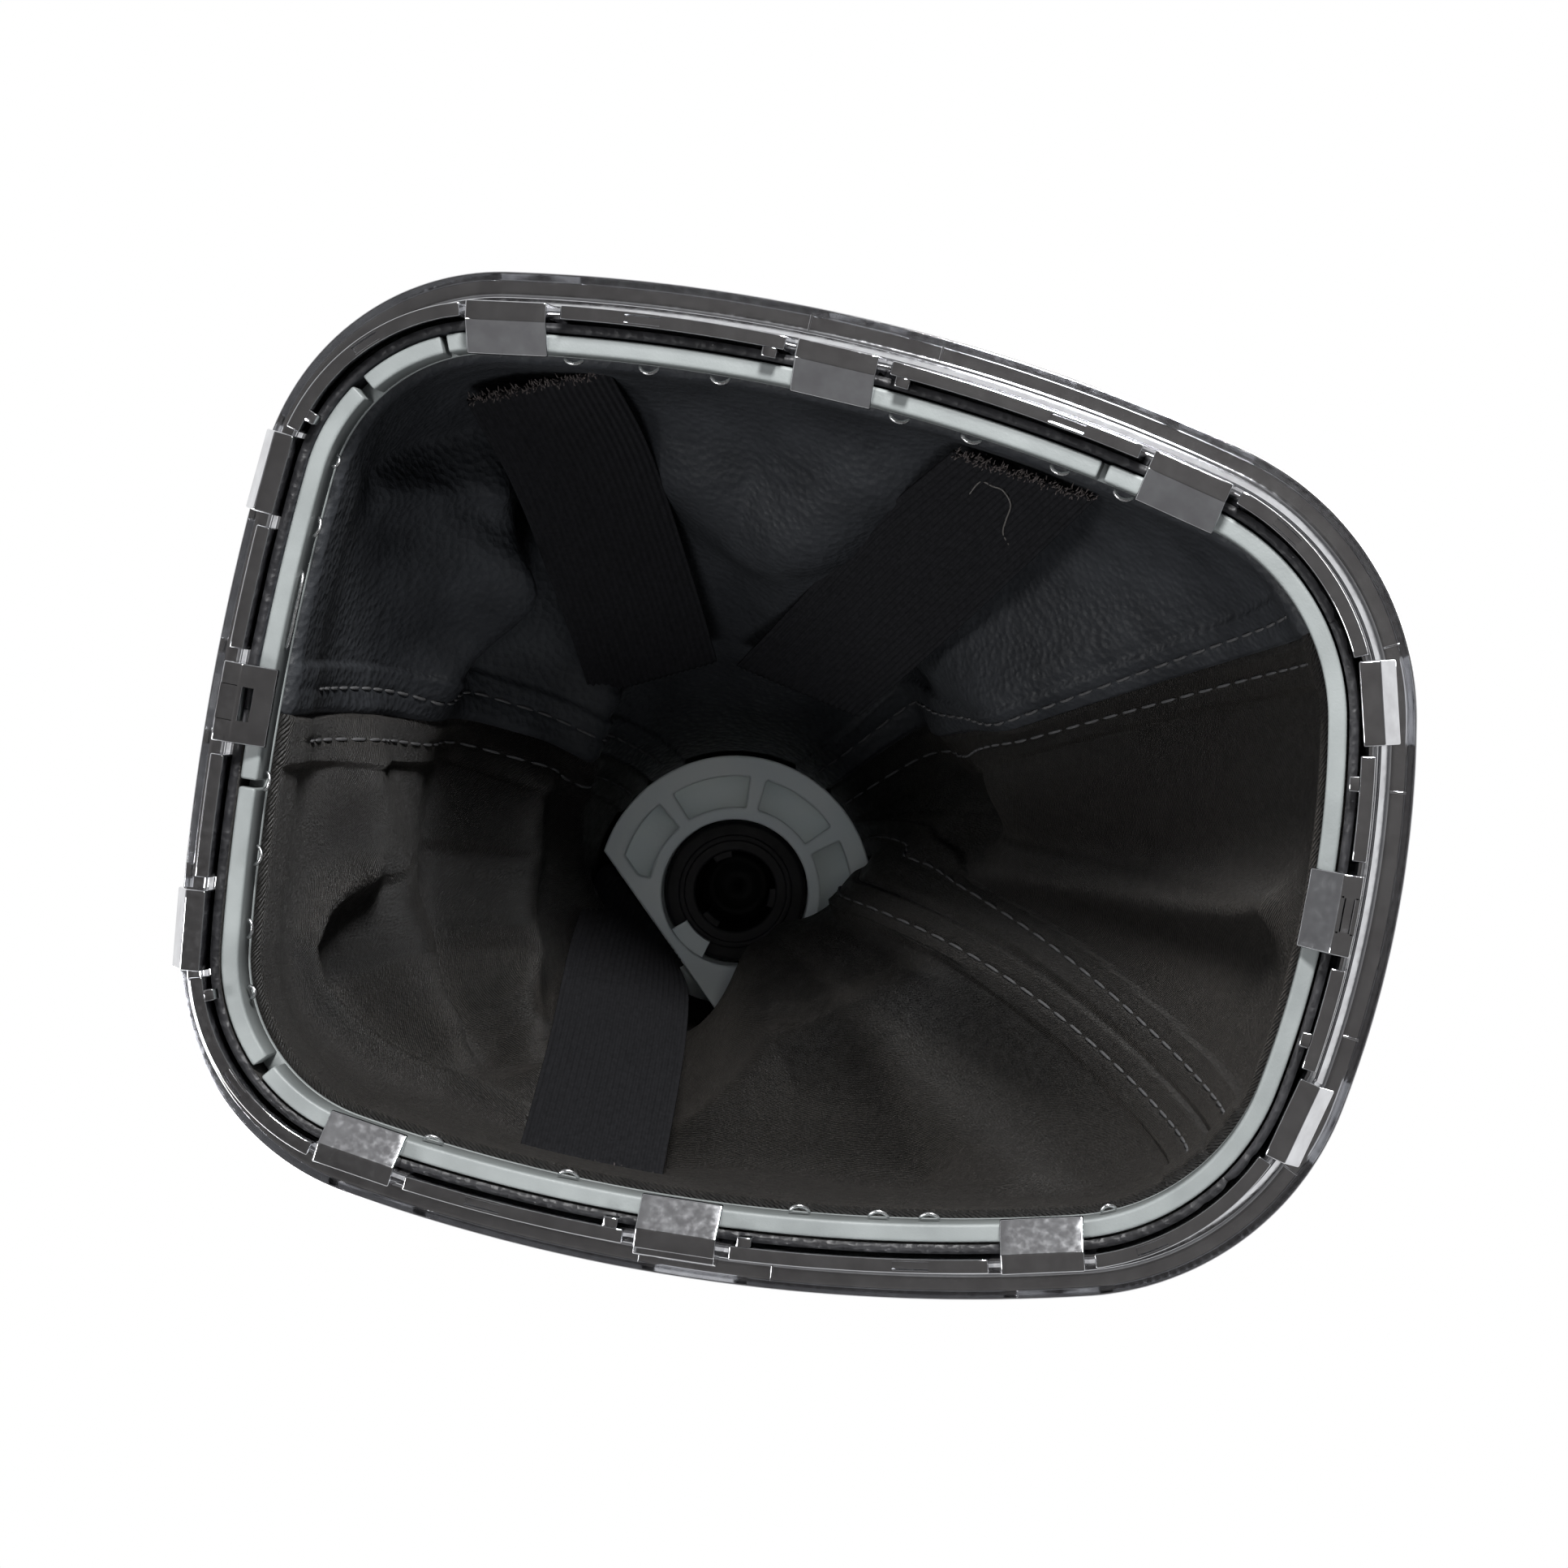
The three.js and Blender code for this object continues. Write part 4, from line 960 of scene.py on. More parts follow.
def crease_reach(points):
    """Sum of the creases, each by the distance to its line on the smooth body."""
    total = np.zeros(points.shape[:-1])
    for line, reach, width, power in CREASES:
        knots = np.arange(len(line))
        fine = np.linspace(0, len(line) - 1, (len(line) - 1) * CREASE_STEPS + 1)
        path = body_points(np.interp(fine, knots, [place[0] for place in line]),
                           np.interp(fine, knots, [place[1] for place in line]))
        near = np.full(total.shape, 1e9)
        for start, end in zip(path[:-1], path[1:]):
            step = end - start
            share = np.clip(((points - start) @ step) / (step @ step), 0, 1)
            away = points - start - share[..., None] * step
            near = np.minimum(near, np.linalg.norm(away, axis=-1))
        total += reach * np.exp(-(np.sqrt((near / width) ** 2 + 0.02)) ** power)
    return total


def folded_points(stations, rows):
    stations, rows = np.broadcast_arrays(np.asarray(stations, float), np.asarray(rows, float))
    points = body_points(stations, rows)
    reach = crease_reach(points)
    for station, row, depth, wide, low, high in FOLDS:
        rise = rows - row
        height = rise / np.where(rise < 0, low, high)
        reach += depth * bell(around(stations, station), wide) * bell(height, 1)
    reach *= smoothstep(rows, 0, 0.12) * (1 - smoothstep(rows, 0.93, 1))
    return points + inward_directions(stations, rows) * reach[..., None]


HEM_ROWS = [
    (HEM_INSET, HEM_FOOT),
    (HEM_INSET, (HEM_FOOT + HEM_TOP) / 2),
    (HEM_INSET, HEM_TOP - 0.9),
    (HEM_INSET + 0.12, HEM_TOP - 0.45),
    (HEM_INSET + 0.45, HEM_TOP - 0.12),
    (HEM_INSET + 0.95, HEM_TOP),
    (HEM_INSET + 1.8, HEM_TOP),
    (GAITER_INSET - 0.9, HEM_TOP),
    (GAITER_INSET - 0.4, HEM_TOP + 0.14),
    (GAITER_INSET - 0.1, HEM_TOP + 0.5),
    (GAITER_INSET, HEM_TOP + 1.1),
    (GAITER_INSET, HEM_TOP + 2.6),
    (GAITER_INSET, HEM_TOP + 4.2),
    (GAITER_INSET, HEM_TOP + 5.8),
]
NECK_ROWS = [
    (2.0, FLANGE_NECK),
    (FLANGE_HEIGHT / 2, FLANGE_NECK),
    (FLANGE_HEIGHT - 1.5, FLANGE_NECK),
    (FLANGE_HEIGHT, FLANGE_NECK - 0.15),
    (FLANGE_HEIGHT + 1.6, FLANGE_NECK - 1.1),
    (NECK_START - 2.2, NECK_RADIUS + 1.3),
    (NECK_START, NECK_RADIUS),
    ((NECK_START + NECK_END) / 2, NECK_RADIUS),
    (NECK_END, NECK_RADIUS),
]


def panel_stations(start, end):
    """Columns of a panel, closer together beside its seams."""
    fine = 9.0
    step_fine = 0.42
    step_wide = 0.95
    first = np.arange(start, start + fine, step_fine)
    last = np.arange(end - fine, end, step_fine)
    middle = np.linspace(start + fine, end - fine,
                         int((end - start - 2 * fine) / step_wide), endpoint=False)
    return np.concatenate([first, middle, last, [end]])


def seam_lift(distance):
    """Height of the pressed-open allowance over the leather, with the closed line in its middle."""
    edge = 1 - smoothstep(distance, *ALLOWANCE_EDGE)
    return (ALLOWANCE_LIFT * edge - LINE_SINK * bell(distance, LINE_WIDTH)
            - ROW_SINK * bell(distance - ROW_DISTANCE, ROW_WIDTH))


def outside_groove(distance):
    """Depth of the groove along a seam and of its rows of stitches on the leather's outside."""
    return (OUTSIDE_LINE_SINK * bell(distance, OUTSIDE_LINE_WIDTH)
            + OUTSIDE_ROW_SINK * bell(distance - ROW_DISTANCE, ROW_WIDTH))


def panel_grid(start, end, rows):
    stations = panel_stations(start + SEAM_GAP, end - SEAM_GAP)
    hem = np.stack([on_outline(stations, inset, z) for inset, z in HEM_ROWS], 1)
    body = folded_points(stations[:, None], rows[None, :])
    across = station_length(stations[:, None], rows[None, :])
    neck = np.stack([on_lever(np.full(len(stations), height), radius, neck_angle(stations))
                     for height, radius in NECK_ROWS], 1)
    grid = np.concatenate([hem, body, neck], 1)
    scale = np.concatenate([np.repeat(across[:, :1], hem.shape[1], 1), across,
                            np.repeat(across[:, -1:], neck.shape[1], 1)], 1)
    distance = np.minimum(stations - start, end - stations)[:, None] * scale
    return stations, grid, distance


def grid_normals(grid):
    return unit(np.cross(np.gradient(grid, axis=1), np.gradient(grid, axis=0)))


def sheet_faces(wide, high):
    """Faces of a closed sheet whose first layer is its inner side, and the layer of each face."""
    index = np.arange(wide * high).reshape(wide, high)
    inner = np.stack([index[:-1, :-1], index[:-1, 1:], index[1:, 1:], index[1:, :-1]], -1)
    inner = inner.reshape(-1, 4)
    outer = inner[:, ::-1] + wide * high
    edge = np.concatenate([index[:, 0], index[-1, 1:], index[-2::-1, -1], index[0, -2:0:-1]])
    following = np.roll(edge, -1)
    rim = np.stack([edge, following, following + wide * high, edge + wide * high], -1)
    faces = [tuple(face) for face in np.concatenate([inner, outer, rim]).tolist()]
    layers = [0] * len(inner) + [1] * len(outer) + [1] * len(rim)
    return faces, layers


def sheet_piece(name, inner, outer, coordinates, materials, replaced):
    """A closed sheet between two grids of points, with flat coordinates in millimetres."""
    wide, high = inner.shape[:2]
    faces, layers = sheet_faces(wide, high)
    points = np.concatenate([inner.reshape(-1, 3), outer.reshape(-1, 3)])
    if outward_faces(points, faces) is not faces:
        faces = [face[::-1] for face in faces]
    mesh = smooth_mesh(name, points, faces, layers, materials)
    layer = mesh.uv_layers.new(name="flat")
    corners = np.empty(len(mesh.loops), int)
    mesh.loops.foreach_get("vertex_index", corners)
    flat = np.concatenate([coordinates.reshape(-1, 2)] * 2)[corners]
    layer.data.foreach_set("uv", flat.astype(np.float32).ravel())
    return settle(bpy.data.objects.new(name, mesh), replaced)


def flat_coordinates(grid, stations):
    """Run along the sheet's foot and length from the foot, in millimetres."""
    steps = np.linalg.norm(np.diff(grid, axis=1), axis=-1)
    length = np.concatenate([np.zeros((len(grid), 1)), np.cumsum(steps, 1)], 1)
    run = np.repeat((stations - stations.mean())[:, None], grid.shape[1], 1)
    return np.stack([run, length], -1)


BODY_ROWS = np.linspace(0, 1, 150)
PANELS = [
    ("gaiter_panel_lower", SEAMS[0][0], SEAMS[1][0], TWILL),
    ("gaiter_panel_upper", SEAMS[1][0], SEAMS[2][0], GRAIN_INSIDE),
    ("gaiter_panel_right", SEAMS[2][0], SEAMS[0][0] + PERIMETER, TWILL),
]


def gaiter_panels():
    for name, start, end, inside in PANELS:
        stations, grid, distance = panel_grid(start, end, BODY_ROWS)
        normal = grid_normals(grid)
        lift = seam_lift(distance)
        hem = len(HEM_ROWS)
        lift[:, :hem] *= np.linspace(0, 1, hem)[None, :] ** 2
        lift[:, -len(NECK_ROWS):] = np.minimum(lift[:, -len(NECK_ROWS):], 0.0)
        inner = grid + normal * (LEATHER / 2 + lift)[..., None]
        outer = grid - normal * (LEATHER / 2 - outside_groove(distance))[..., None]
        piece = sheet_piece(name + "_leather", inner, outer, flat_coordinates(grid, stations),
                            [inside, GRAIN_OUTSIDE], [name])


def seam_line(station, offset, rows):
    """Points and inward normals along a seam, at an offset to its side in millimetres."""
    turn = 1 if offset > 0 else -1
    places = station + offset / station_length(np.full(rows.shape, station + 2.0 * turn), rows)
    here = folded_points(places, rows)
    side = folded_points(places + 0.5, rows)
    above = folded_points(places, np.minimum(1, rows + 0.004))
    return here, unit(np.cross(above - here, side - here))


def along_line(places, length, values):
    """Values [x, y, z] given along a line, read off at other places on it."""
    return np.stack([np.interp(places, length, values[:, k]) for k in range(3)], -1)


def stitches():
    """Twin rows of stitches along the three seams, inside and outside."""
    build = Build()
    fine = np.linspace(0.02, 0.985, 700)
    for station, _ in SEAMS:
        for offset in (-ROW_DISTANCE, ROW_DISTANCE):
            path, normal = seam_line(station, offset, fine)
            length = run_length(path)
            for lift, slot in ((LEATHER / 2 + ALLOWANCE_LIFT - STITCH_SINK, 0),
                               (-LEATHER / 2 + 0.02, 1)):
                surface = path + normal * lift
                start = 1.0 + (0.0 if slot == 0 else STITCH_PITCH / 2)
                while start + STITCH_LENGTH < length[-1]:
                    places = start + np.linspace(0, STITCH_LENGTH, STITCH_STEPS)
                    line = along_line(places, length, surface)
                    out = along_line(places, length, normal)
                    arch = np.sin(np.linspace(0, math.pi, STITCH_STEPS)) * THREAD * 0.45
                    line = line + out * (arch * (1 if slot == 0 else -1))[:, None]
                    tube(build, line, THREAD / 2, 6, slot)
                    start += STITCH_PITCH
    build.piece("gaiter_stitches", [THREAD_GREY, THREAD_DARK], "leather")


# Straps

STRAP_SHARES = np.linspace(-1, 1, STRAP_RIBS * 6 + 1)


def smooth_curve(points, count):
    """A Catmull-Rom curve through rows of points, at even steps of its length."""
    points = np.asarray(points, float)
    extended = np.concatenate([2 * points[:1] - points[1:2], points,
                               2 * points[-1:] - points[-2:-1]])
    parts = []
    for k in range(1, len(points)):
        p0, p1, p2, p3 = extended[k - 1:k + 3]
        share = np.linspace(0, 1, 24, endpoint=False)[:, None, None]
        parts.append(0.5 * (2 * p1 + (p2 - p0) * share
                            + (2 * p0 - 5 * p1 + 4 * p2 - p3) * share ** 2
                            + (3 * p1 - p0 - 3 * p2 + p3) * share ** 3))
    fine = np.concatenate([*parts, points[-1:]])
    middle = fine[:, fine.shape[1] // 2]
    length = run_length(middle)
    places = np.linspace(0, length[-1], count)
    index = np.clip(np.searchsorted(length, places) - 1, 0, len(fine) - 2)
    share = ((places - length[index]) / (length[index + 1] - length[index]))[:, None, None]
    return fine[index] * (1 - share) + fine[index + 1] * share


def strap_piece(name, rail):
    rows = []
    for x, y, z, turn in rail:
        width = np.array([math.cos(math.radians(turn)), math.sin(math.radians(turn)), 0.0])
        rows.append(np.array([x, y, z]) + np.outer(STRAP_SHARES * STRAP_WIDTH / 2, width))
    grid = np.swapaxes(smooth_curve(rows, STRAP_ROWS), 0, 1)
    normal = grid_normals(grid)
    edge = 1 - STRAP_EDGE_LOSS * np.exp(-(1 - np.abs(STRAP_SHARES)) / STRAP_EDGE_SHARE)
    ribs = RIB_DEPTH * np.cos(STRAP_SHARES * math.pi * STRAP_RIBS)
    half = (STRAP_THICKNESS / 2 - RIB_DEPTH + ribs) * edge
    inner = grid + normal * half[:, None, None]
    outer = grid - normal * half[:, None, None]
    piece = sheet_piece(name + "_webbing", inner, outer,
                        flat_coordinates(grid, STRAP_SHARES * STRAP_WIDTH / 2),
                        [ELASTIC, ELASTIC], [name])
    return grid, normal


def frayed_end(name, grid, normal):
    """Short loose threads along the cut end of a strap."""
    wobble = random.Random(SEED)
    build = Build()
    away = unit(grid[:, 0] - grid[:, 1])
    for k in [*range(2, len(grid) - 2)] * 2:
        start = grid[k, 0] + normal[k, 0] * wobble.uniform(-0.4, 0.5)
        lean = normal[k, 0] * wobble.uniform(-0.3, 0.8)
        side = (grid[k + 1, 0] - grid[k - 1, 0]) * wobble.uniform(-1.5, 1.5)
        end = start + away[k] * wobble.uniform(-0.6, 1.4) + lean + side
        bend = (start + end) / 2 + normal[k, 0] * wobble.uniform(0, 0.4)
        tube(build, [start, bend, end], FRAY_RADIUS, 5)
    build.piece(name + "_fray", [THREAD_FRAY], "elastic")


def straps():
    for name, rail in STRAPS.items():
        grid, normal = strap_piece(name, rail)
        frayed_end(name, grid, normal)
    build = Build()
    curve = smooth_curve([[point] for point in LOOSE_THREAD], 60)[:, 0]
    tube(build, curve, LOOSE_RADIUS, 6)
    build.piece("loose_thread", [THREAD_PALE], "elastic")


# Collar and knob

def circle(radius, start=0.0, end=360.0, count=None):
    count = count or max(8, int(abs(end - start) / 2.5))
    turns = np.radians(np.linspace(start, end, count, endpoint=abs(end - start) < 360))
    return np.stack([radius * np.cos(turns), radius * np.sin(turns)], -1)


def cut_by_flat(points, distance):
    """Clips a convex outline by the line of the collar's flat side."""
    direction = np.array([math.cos(math.radians(FLAT_DIRECTION)),
                          math.sin(math.radians(FLAT_DIRECTION))])
    result = []
    for k in range(len(points)):
        here, nxt = points[k], points[(k + 1) % len(points)]
        a, b = here @ direction - distance, nxt @ direction - distance
        if a <= 0:
            result.append(here)
        if a * b < 0:
            result.append(here + (nxt - here) * a / (a - b))
    return np.array(result)


def add_plate(build, loops, bottom, top, bevel):
    """Adds a plate with holes between two heights on the lever axis, with rounded edges."""
    curve = bpy.data.curves.new("plate", "CURVE")
    curve.dimensions = "2D"
    curve.fill_mode = "BOTH"
    curve.extrude = ((top - bottom) / 2 - bevel) * MM
    curve.bevel_depth = bevel * MM
    curve.offset = -bevel * MM
    curve.bevel_resolution = 2
    for loop in loops:
        spline = curve.splines.new("POLY")
        spline.points.add(len(loop) - 1)
        for point, (x, y) in zip(spline.points, loop):
            point.co = (x * MM, y * MM, 0, 1)
        spline.use_cyclic_u = True
    holder = bpy.data.objects.new("plate", curve)
    bpy.context.scene.collection.objects.link(holder)
    mesh = bpy.data.meshes.new_from_object(holder.evaluated_get(
        bpy.context.evaluated_depsgraph_get()))
    bpy.data.objects.remove(holder)
    points = np.empty(len(mesh.vertices) * 3)
    mesh.vertices.foreach_get("co", points)
    points = points.reshape(-1, 3) / MM
    points[:, 2] += (top + bottom) / 2
    build.add(points @ AXIS_TURN.T + COLLAR_POINT, [tuple(face.vertices) for face in mesh.polygons])
    bpy.data.meshes.remove(mesh)


def lathe(build, profile, segments=72, slot=0, wave=None):
    """A closed profile of [radius, height] turned round the lever axis."""
    profile = np.asarray(profile, float)
    turns = np.linspace(0, 360, segments, endpoint=False)
    radius = np.repeat(profile[None, :, 0], segments, 0)
    height = np.repeat(profile[None, :, 1], segments, 0)
    if wave is not None:
        radius = radius + wave(turns[:, None], height)
    points = on_lever(height, radius, turns[:, None]).reshape(-1, 3)
    build.add(points, outward_faces(points, band_faces(segments, len(profile))), slot)


def collar():
    build = Build()
    outer = cut_by_flat(circle(FLANGE_RADIUS), FLAT_DISTANCE)
    holes = []
    for k in range(POCKET_COUNT):
        rib = FIRST_RIB + (k - 1) * POCKET_PITCH
        start = rib + RIB_ANGLE / 2
        end = rib + POCKET_PITCH - RIB_ANGLE / 2
        loop = np.concatenate([circle(POCKET_OUTER, start, end, 22),
                               circle(POCKET_INNER, end, start, 18)])
        loop = cut_by_flat(loop, FLAT_DISTANCE - FLAT_WALL)
        if len(loop) > 6:
            holes.append(rounded(loop, 0.5, 2))
    bore = circle(BORE_RADIUS)
    for loops, bottom, top, bevel in (
            ([outer, bore, *holes], 0.0, COLLAR_POCKET_DEPTH, 0.35),
            ([outer, bore], COLLAR_POCKET_DEPTH - 0.05, FLANGE_HEIGHT, 0.02)):
        add_plate(build, loops, bottom, top, bevel)
    lathe(build, rounded(block(BORE_RADIUS, HUB_RADIUS, FLANGE_HEIGHT - 0.1, HUB_TOP),
                         [0, 0, 0.5, 0.5]))
    lug_start, lug_end = LUG_ANGLES
    lug = np.concatenate([circle(BORE_RADIUS + 0.4, lug_start, lug_end, 14),
                          circle(BORE_RADIUS - LUG_DEPTH, lug_end, lug_start, 12)])
    add_plate(build, [lug], LUG_SINK, LUG_SINK + LUG_HEIGHT, 0.2)
    build.piece("collar_moulding", [PALE_PLASTIC], "pale_plastic", ["collar"], weighted=True)


def chrome_ring(node, profile, radii):
    build = Build()
    lathe(build, rounded(profile, radii, 4), FINE_TURN)
    build.piece(node + "_chrome", [CHROME], "chrome", [node], weighted=True)


CORE_START = 8.3
CORE_TOP = 74.0
LEVER_RADIUS = 6.2
LEVER_DEPTH = 42.0
KEY_WIDTH = 3.2
KEY_DEPTH = 1.0
FOOT_RING_RADIUS = 17.8
FOOT_RING_HEIGHT = 4.5
WAIST_RADIUS = 15.6
WAIST_HEIGHT = 50.0
HEAD_RADIUS = 24.6
HEAD_HEIGHT = 80.0
GRIP_TOP = 92.0
TOP_RADIUS = 21.2
TRIM_RING_HEIGHT = 3.2
TRIM_RING_WIDTH = 3.4
CAP_EDGE = 2.9
CAP_DOME = 3.2
FINE_TURN = 96
TIE_WIDTH = 4.8
TIE_THICKNESS = 1.5
TIE_HEAD_WIDTH = 5.5
TIE_HEAD_LENGTH = 6.5
TIE_HEAD_TURN = 40
GRIP_THREAD = 0.44
GRIP_ROW_DISTANCE = 1.7


def knob_core():
    """Sleeve that grips the lever, with three keys, a shoulder and a domed end in its bore."""
    build = Build()
    outer = BORE_RADIUS - CLEARANCE
    profile = [[LEVER_RADIUS, CORE_START], [outer, CORE_START], [outer, CORE_TOP],
               [0.01, CORE_TOP], [0.01, LEVER_DEPTH - 1.6], [LEVER_RADIUS * 0.5, LEVER_DEPTH - 1.0],
               [LEVER_RADIUS, LEVER_DEPTH]]
    lathe(build, rounded(profile, [0.5, 0.7, 0.5, 0, 0, 0.6, 0], 4), FINE_TURN)
    ring = block(LEVER_RADIUS + 1.6, LEVER_RADIUS + 2.6, CORE_START - 0.7, CORE_START + 0.4)
    lathe(build, rounded(ring, 0.3), FINE_TURN)
    for angle in (0, 120, 240):
        half = math.degrees(KEY_WIDTH / 2 / LEVER_RADIUS)
        loop = np.concatenate([circle(LEVER_RADIUS + 0.4, angle - half, angle + half, 6),
                               circle(LEVER_RADIUS - KEY_DEPTH, angle + half, angle - half, 6)])
        add_plate(build, [loop], CORE_START + 0.4, LEVER_DEPTH, 0.2)
    build.piece("knob_core_sleeve", [BLACK_PLASTIC], "black_plastic", ["knob_core"], weighted=True)


def neck_tie():
    build = Build()
    inner = NECK_RADIUS + LEATHER / 2 + 0.1
    middle = (NECK_START + NECK_END) / 2
    half = TIE_WIDTH / 2
    lathe(build, rounded(block(inner, inner + TIE_THICKNESS, middle - half, middle + half), 0.3),
          FINE_TURN)
    head = block(inner + 0.8, inner + 4.9, -TIE_HEAD_WIDTH / 2, TIE_HEAD_WIDTH / 2)
    turn = math.radians(TIE_HEAD_TURN)
    spin = np.array([[math.cos(turn), -math.sin(turn)], [math.sin(turn), math.cos(turn)]])
    add_plate(build, [rounded(head, 0.6) @ spin.T], middle - TIE_HEAD_LENGTH / 2,
              middle + TIE_HEAD_LENGTH / 2, 0.35)
    build.piece("neck_tie_band", [BLACK_PLASTIC], "black_plastic", ["neck_tie"], weighted=True)


def grip_silhouette():
    """Smooth outline of the grip from its foot to its top."""
    foot = HUB_TOP + 2 * CLEARANCE + FOOT_RING_HEIGHT
    knots = np.array([[FOOT_RING_RADIUS - 0.6, foot], [WAIST_RADIUS, WAIST_HEIGHT],
                      [(WAIST_RADIUS + HEAD_RADIUS) / 2 + 0.6, (WAIST_HEIGHT + HEAD_HEIGHT) / 2],
                      [HEAD_RADIUS, HEAD_HEIGHT], [TOP_RADIUS, GRIP_TOP]])
    return smooth_curve(knots[:, None, :], 60)[:, 0]


def knob_grip():
    """Leather grip of four panels, pulled in at its seams and stitched along them."""
    build = Build()
    side = grip_silhouette()
    foot = side[0, 1]
    profile = np.concatenate([[[BORE_RADIUS, foot]], side,
                              [[TOP_RADIUS - 1.2, GRIP_TOP], [0.01, GRIP_TOP - 0.05],
                               [0.01, CORE_TOP + CLEARANCE], [BORE_RADIUS, CORE_TOP + CLEARANCE]]])
    outer = np.zeros(len(profile))
    outer[2:len(side)] = 1.0

    def seam_pull(turns, height):
        distance = np.abs(turns % 90 - 45) * math.pi / 180 * HEAD_RADIUS
        shape = -0.45 * bell(distance, 0.55) + 0.12 * bell(distance - 1.6, 0.7)
        return shape * outer[None, :]

    lathe(build, profile, 360, 0, seam_pull)
    for seam in (45, 135, 225, 315):
        for offset in (-GRIP_ROW_DISTANCE, GRIP_ROW_DISTANCE):
            for k in range(2, len(side) - 2, 3):
                part = side[k:k + 3]
                radius = part[:, 0] + 0.12
                angle = seam + np.degrees(offset / radius)
                tube(build, on_lever(part[:, 1], radius, angle), GRIP_THREAD / 2, 6, 1)
    build.piece("knob_grip_cover", [GRIP, THREAD_DARK], "grip_leather", ["knob_grip"])


def knob_trim():
    foot = HUB_TOP + CLEARANCE
    high = FOOT_RING_HEIGHT
    chrome_ring("knob_foot_ring",
                [[BORE_RADIUS, foot], [FOOT_RING_RADIUS, foot],
                 [FOOT_RING_RADIUS, foot + high * 0.42],
                 [FOOT_RING_RADIUS - 0.5, foot + high * 0.5],
                 [FOOT_RING_RADIUS, foot + high * 0.58],
                 [FOOT_RING_RADIUS, foot + high], [BORE_RADIUS, foot + high]],
                [0.2, 0.9, 0.2, 0.2, 0.2, 0.9, 0.2])
    top = GRIP_TOP + CLEARANCE
    inner = TOP_RADIUS - TRIM_RING_WIDTH
    chrome_ring("knob_trim_ring",
                [[inner, top], [TOP_RADIUS, top],
                 [TOP_RADIUS - 0.5, top + TRIM_RING_HEIGHT - 0.8],
                 [TOP_RADIUS - 1.4, top + TRIM_RING_HEIGHT], [inner, top + TRIM_RING_HEIGHT]],
                [0.2, 0.4, 0.7, 0.7, 0.5])
    radius = inner - CLEARANCE
    dome = [[radius * math.cos(turn), top + CAP_EDGE + CAP_DOME * math.sin(turn)]
            for turn in np.linspace(0.15, math.pi / 2 - 0.001, 24)]
    build = Build()
    lathe(build, [[0.01, top], [radius, top], [radius, top + CAP_EDGE - 0.2], *dome], FINE_TURN)
    build.piece("knob_cap_gloss", [GLOSS], "gloss_black", ["knob_cap"])


# Camera, lights and surroundings

def camera_axes():
    """Right, down and forward directions of the photograph."""
    forward = Vector(AXIS)
    along = Vector((1, 0, 0))
    along = (along - forward * along.dot(forward)).normalized()
    across = forward.cross(along)
    roll = math.radians(CAMERA_ROLL)
    right = along * math.cos(roll) - across * math.sin(roll)
    down = along * math.sin(roll) + across * math.cos(roll)
    return right, down, forward


def camera():
    right, down, forward = camera_axes()
    shift_x = (FRAME_MIDDLE[0] - IMAGE / 2) / FOCAL_PIXELS * CAMERA_DISTANCE
    shift_y = (FRAME_MIDDLE[1] - IMAGE / 2) / FOCAL_PIXELS * CAMERA_DISTANCE
    place = (Vector((0, 0, AIM_HEIGHT)) - forward * CAMERA_DISTANCE - right * shift_x
             - down * shift_y) * MM
    data = bpy.data.cameras.new("camera")
    data.sensor_width = SENSOR
    data.lens = SENSOR * FOCAL_PIXELS / IMAGE
    data.clip_start = 0.01
    holder = bpy.data.objects.new("camera", data)
    turn = Matrix((right, -down, -forward)).transposed().to_4x4()
    holder.matrix_world = Matrix.Translation(place) @ turn
    bpy.context.scene.collection.objects.link(holder)
    bpy.context.scene.camera = holder
    return place


# Lamps round the camera: metres to its right, down and forward, power, size and whether they
# show in gloss. Lamps over the part: place, power and size.
CAMERA_LAMPS = [
    ("key", (0.05, -0.34, 0.08), 5.6, 0.1, True),
    ("low", (-0.06, 0.34, 0.08), 1.5, 0.2, False),
    ("front", (0.02, 0.0, 0.0), 0.08, 0.05, False),
    ("side", (-0.42, 0.1, 0.12), 1.2, 0.16, True),
]
CAMERA_LAMP_TARGET = (0, 0, 0.03)
TOP_LAMPS = [("top", (0.25, -0.35, 0.75), 9.0, 0.5), ("top_fill", (-0.45, 0.4, 0.5), 4.0, 0.5)]
TOP_LAMP_TARGET = (0, 0, 0.08)


def lamp(name, place, target, power, size, glossy=True):
    data = bpy.data.lights.new(name, "AREA")
    data.energy = power
    data.shape = "DISK"
    data.size = size
    holder = bpy.data.objects.new(name, data)
    holder.location = place
    holder.rotation_euler = (Vector(target) - Vector(place)).to_track_quat("-Z", "Y").to_euler()
    holder.visible_glossy = glossy
    bpy.context.scene.collection.objects.link(holder)


def lamps(eye):
    axes = camera_axes()
    for name, steps, power, size, glossy in CAMERA_LAMPS:
        place = eye + sum((axis * step for axis, step in zip(axes, steps)), Vector())
        lamp(name, place, CAMERA_LAMP_TARGET, power, size, glossy)
    for name, place, power, size in TOP_LAMPS:
        lamp(name, place, TOP_LAMP_TARGET, power, size)


WORLD_SHADE = colour(0.9, 0.93, 1.0)
WORLD_LEVEL = 0.3
FLOOR_REACH = 1.5
# Just under the part's lowest face, so that the two don't flicker
FLOOR_HEIGHT = -0.0002
# Cards behind the camera: name, metres behind it, half width and colour
CARDS = [("card", 0.04, 0.46, (0.05, 0.047, 0.045)), ("card_wide", 0.06, 3.2, (0.3, 0.295, 0.29))]
CARD_RIGHT = 0.05


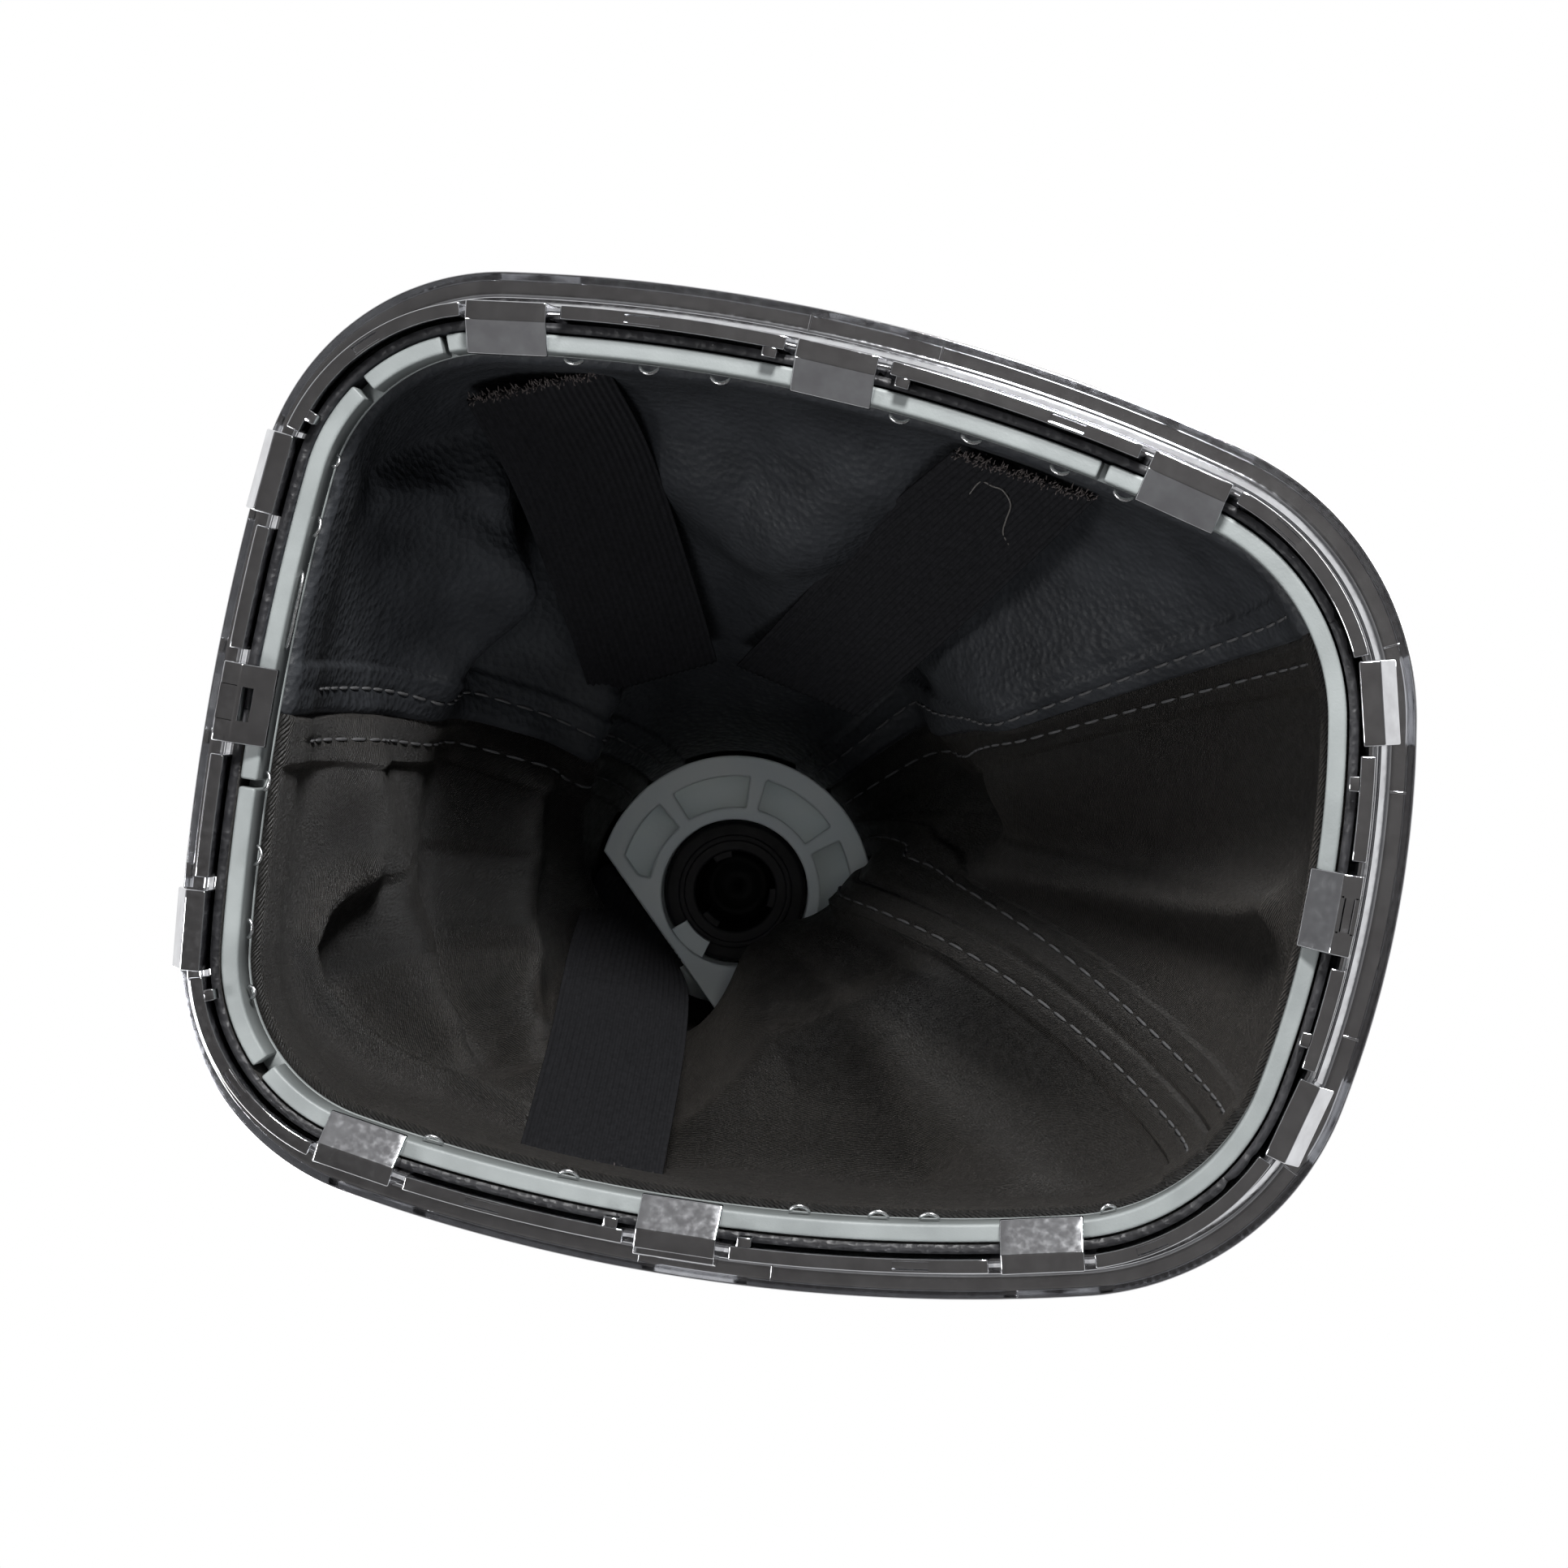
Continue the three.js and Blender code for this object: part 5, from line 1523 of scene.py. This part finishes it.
def world():
    """White to the camera and to mirrors, and a plain level for everything else."""
    world = bpy.data.worlds.new("surroundings")
    bpy.context.scene.world = world
    world.use_nodes = True
    tree = world.node_tree
    tree.nodes.clear()
    path = wired(tree, "ShaderNodeLightPath")
    white_ray = path["Is Camera Ray"]
    for ray in ("Is Glossy Ray", "Is Transmission Ray"):
        white_ray = wired(tree, "ShaderNodeMath", {0: white_ray, 1: path[ray]},
                          operation="MAXIMUM")[0]
    plain, white = [wired(tree, "ShaderNodeBackground", {"Color": shade, "Strength": level})[0]
                    for shade, level in ((WORLD_SHADE, WORLD_LEVEL), (colour(1, 1, 1), 1.0))]
    mix = wired(tree, "ShaderNodeMixShader", {0: white_ray, 1: plain, 2: white})[0]
    wired(tree, "ShaderNodeOutputWorld", {"Surface": mix})


def plane(name, centre, right, down, half, material):
    corners = [Vector(centre) + (Vector(right) * x + Vector(down) * y) * half
               for x, y in ((-1, -1), (1, -1), (1, 1), (-1, 1))]
    mesh = bpy.data.meshes.new(name)
    mesh.from_pydata([tuple(corner) for corner in corners], [], [(0, 1, 2, 3)])
    mesh.materials.append(material)
    holder = bpy.data.objects.new(name, mesh)
    bpy.context.scene.collection.objects.link(holder)
    return holder


def floor():
    """Pale floor, seen only by camera rays from above, so that it never blocks the view below."""
    material, shader = plain_material("floor", (0.82, 0.82, 0.81), 0.8)
    tree = material.node_tree
    camera_ray = wired(tree, "ShaderNodeLightPath")["Is Camera Ray"]
    back = wired(tree, "ShaderNodeNewGeometry")["Backfacing"]
    front = wired(tree, "ShaderNodeMath", {0: camera_ray, 1: back},
                  operation="SUBTRACT", use_clamp=True)[0]
    clear = wired(tree, "ShaderNodeBsdfTransparent")[0]
    mix = wired(tree, "ShaderNodeMixShader", {0: front, 1: clear, 2: shader.outputs[0]})[0]
    tree.links.new(mix, tree.nodes["Material Output"].inputs["Surface"])
    plane("floor", (0, 0, FLOOR_HEIGHT), (1, 0, 0), (0, 1, 0), FLOOR_REACH, material)


def dark_cards(eye):
    """What the chrome's lower faces reflect in the photograph."""
    right, down, forward = camera_axes()
    for name, behind, half, base in CARDS:
        material, _ = plain_material(name, base, 0.9)
        centre = eye - forward * behind + right * CARD_RIGHT
        holder = plane(name, centre, right, down, half, material)
        holder.visible_camera = False
        holder.visible_shadow = False
        holder.visible_diffuse = False


eye = camera()
trim_frame()
retainer_ring()
staples()
collar()
knob_core()
neck_tie()
knob_grip()
knob_trim()
gaiter_panels()
stitches()
straps()
world()
lamps(eye)
floor()
dark_cards(eye)

bpy.context.scene.view_settings.view_transform = "Standard"
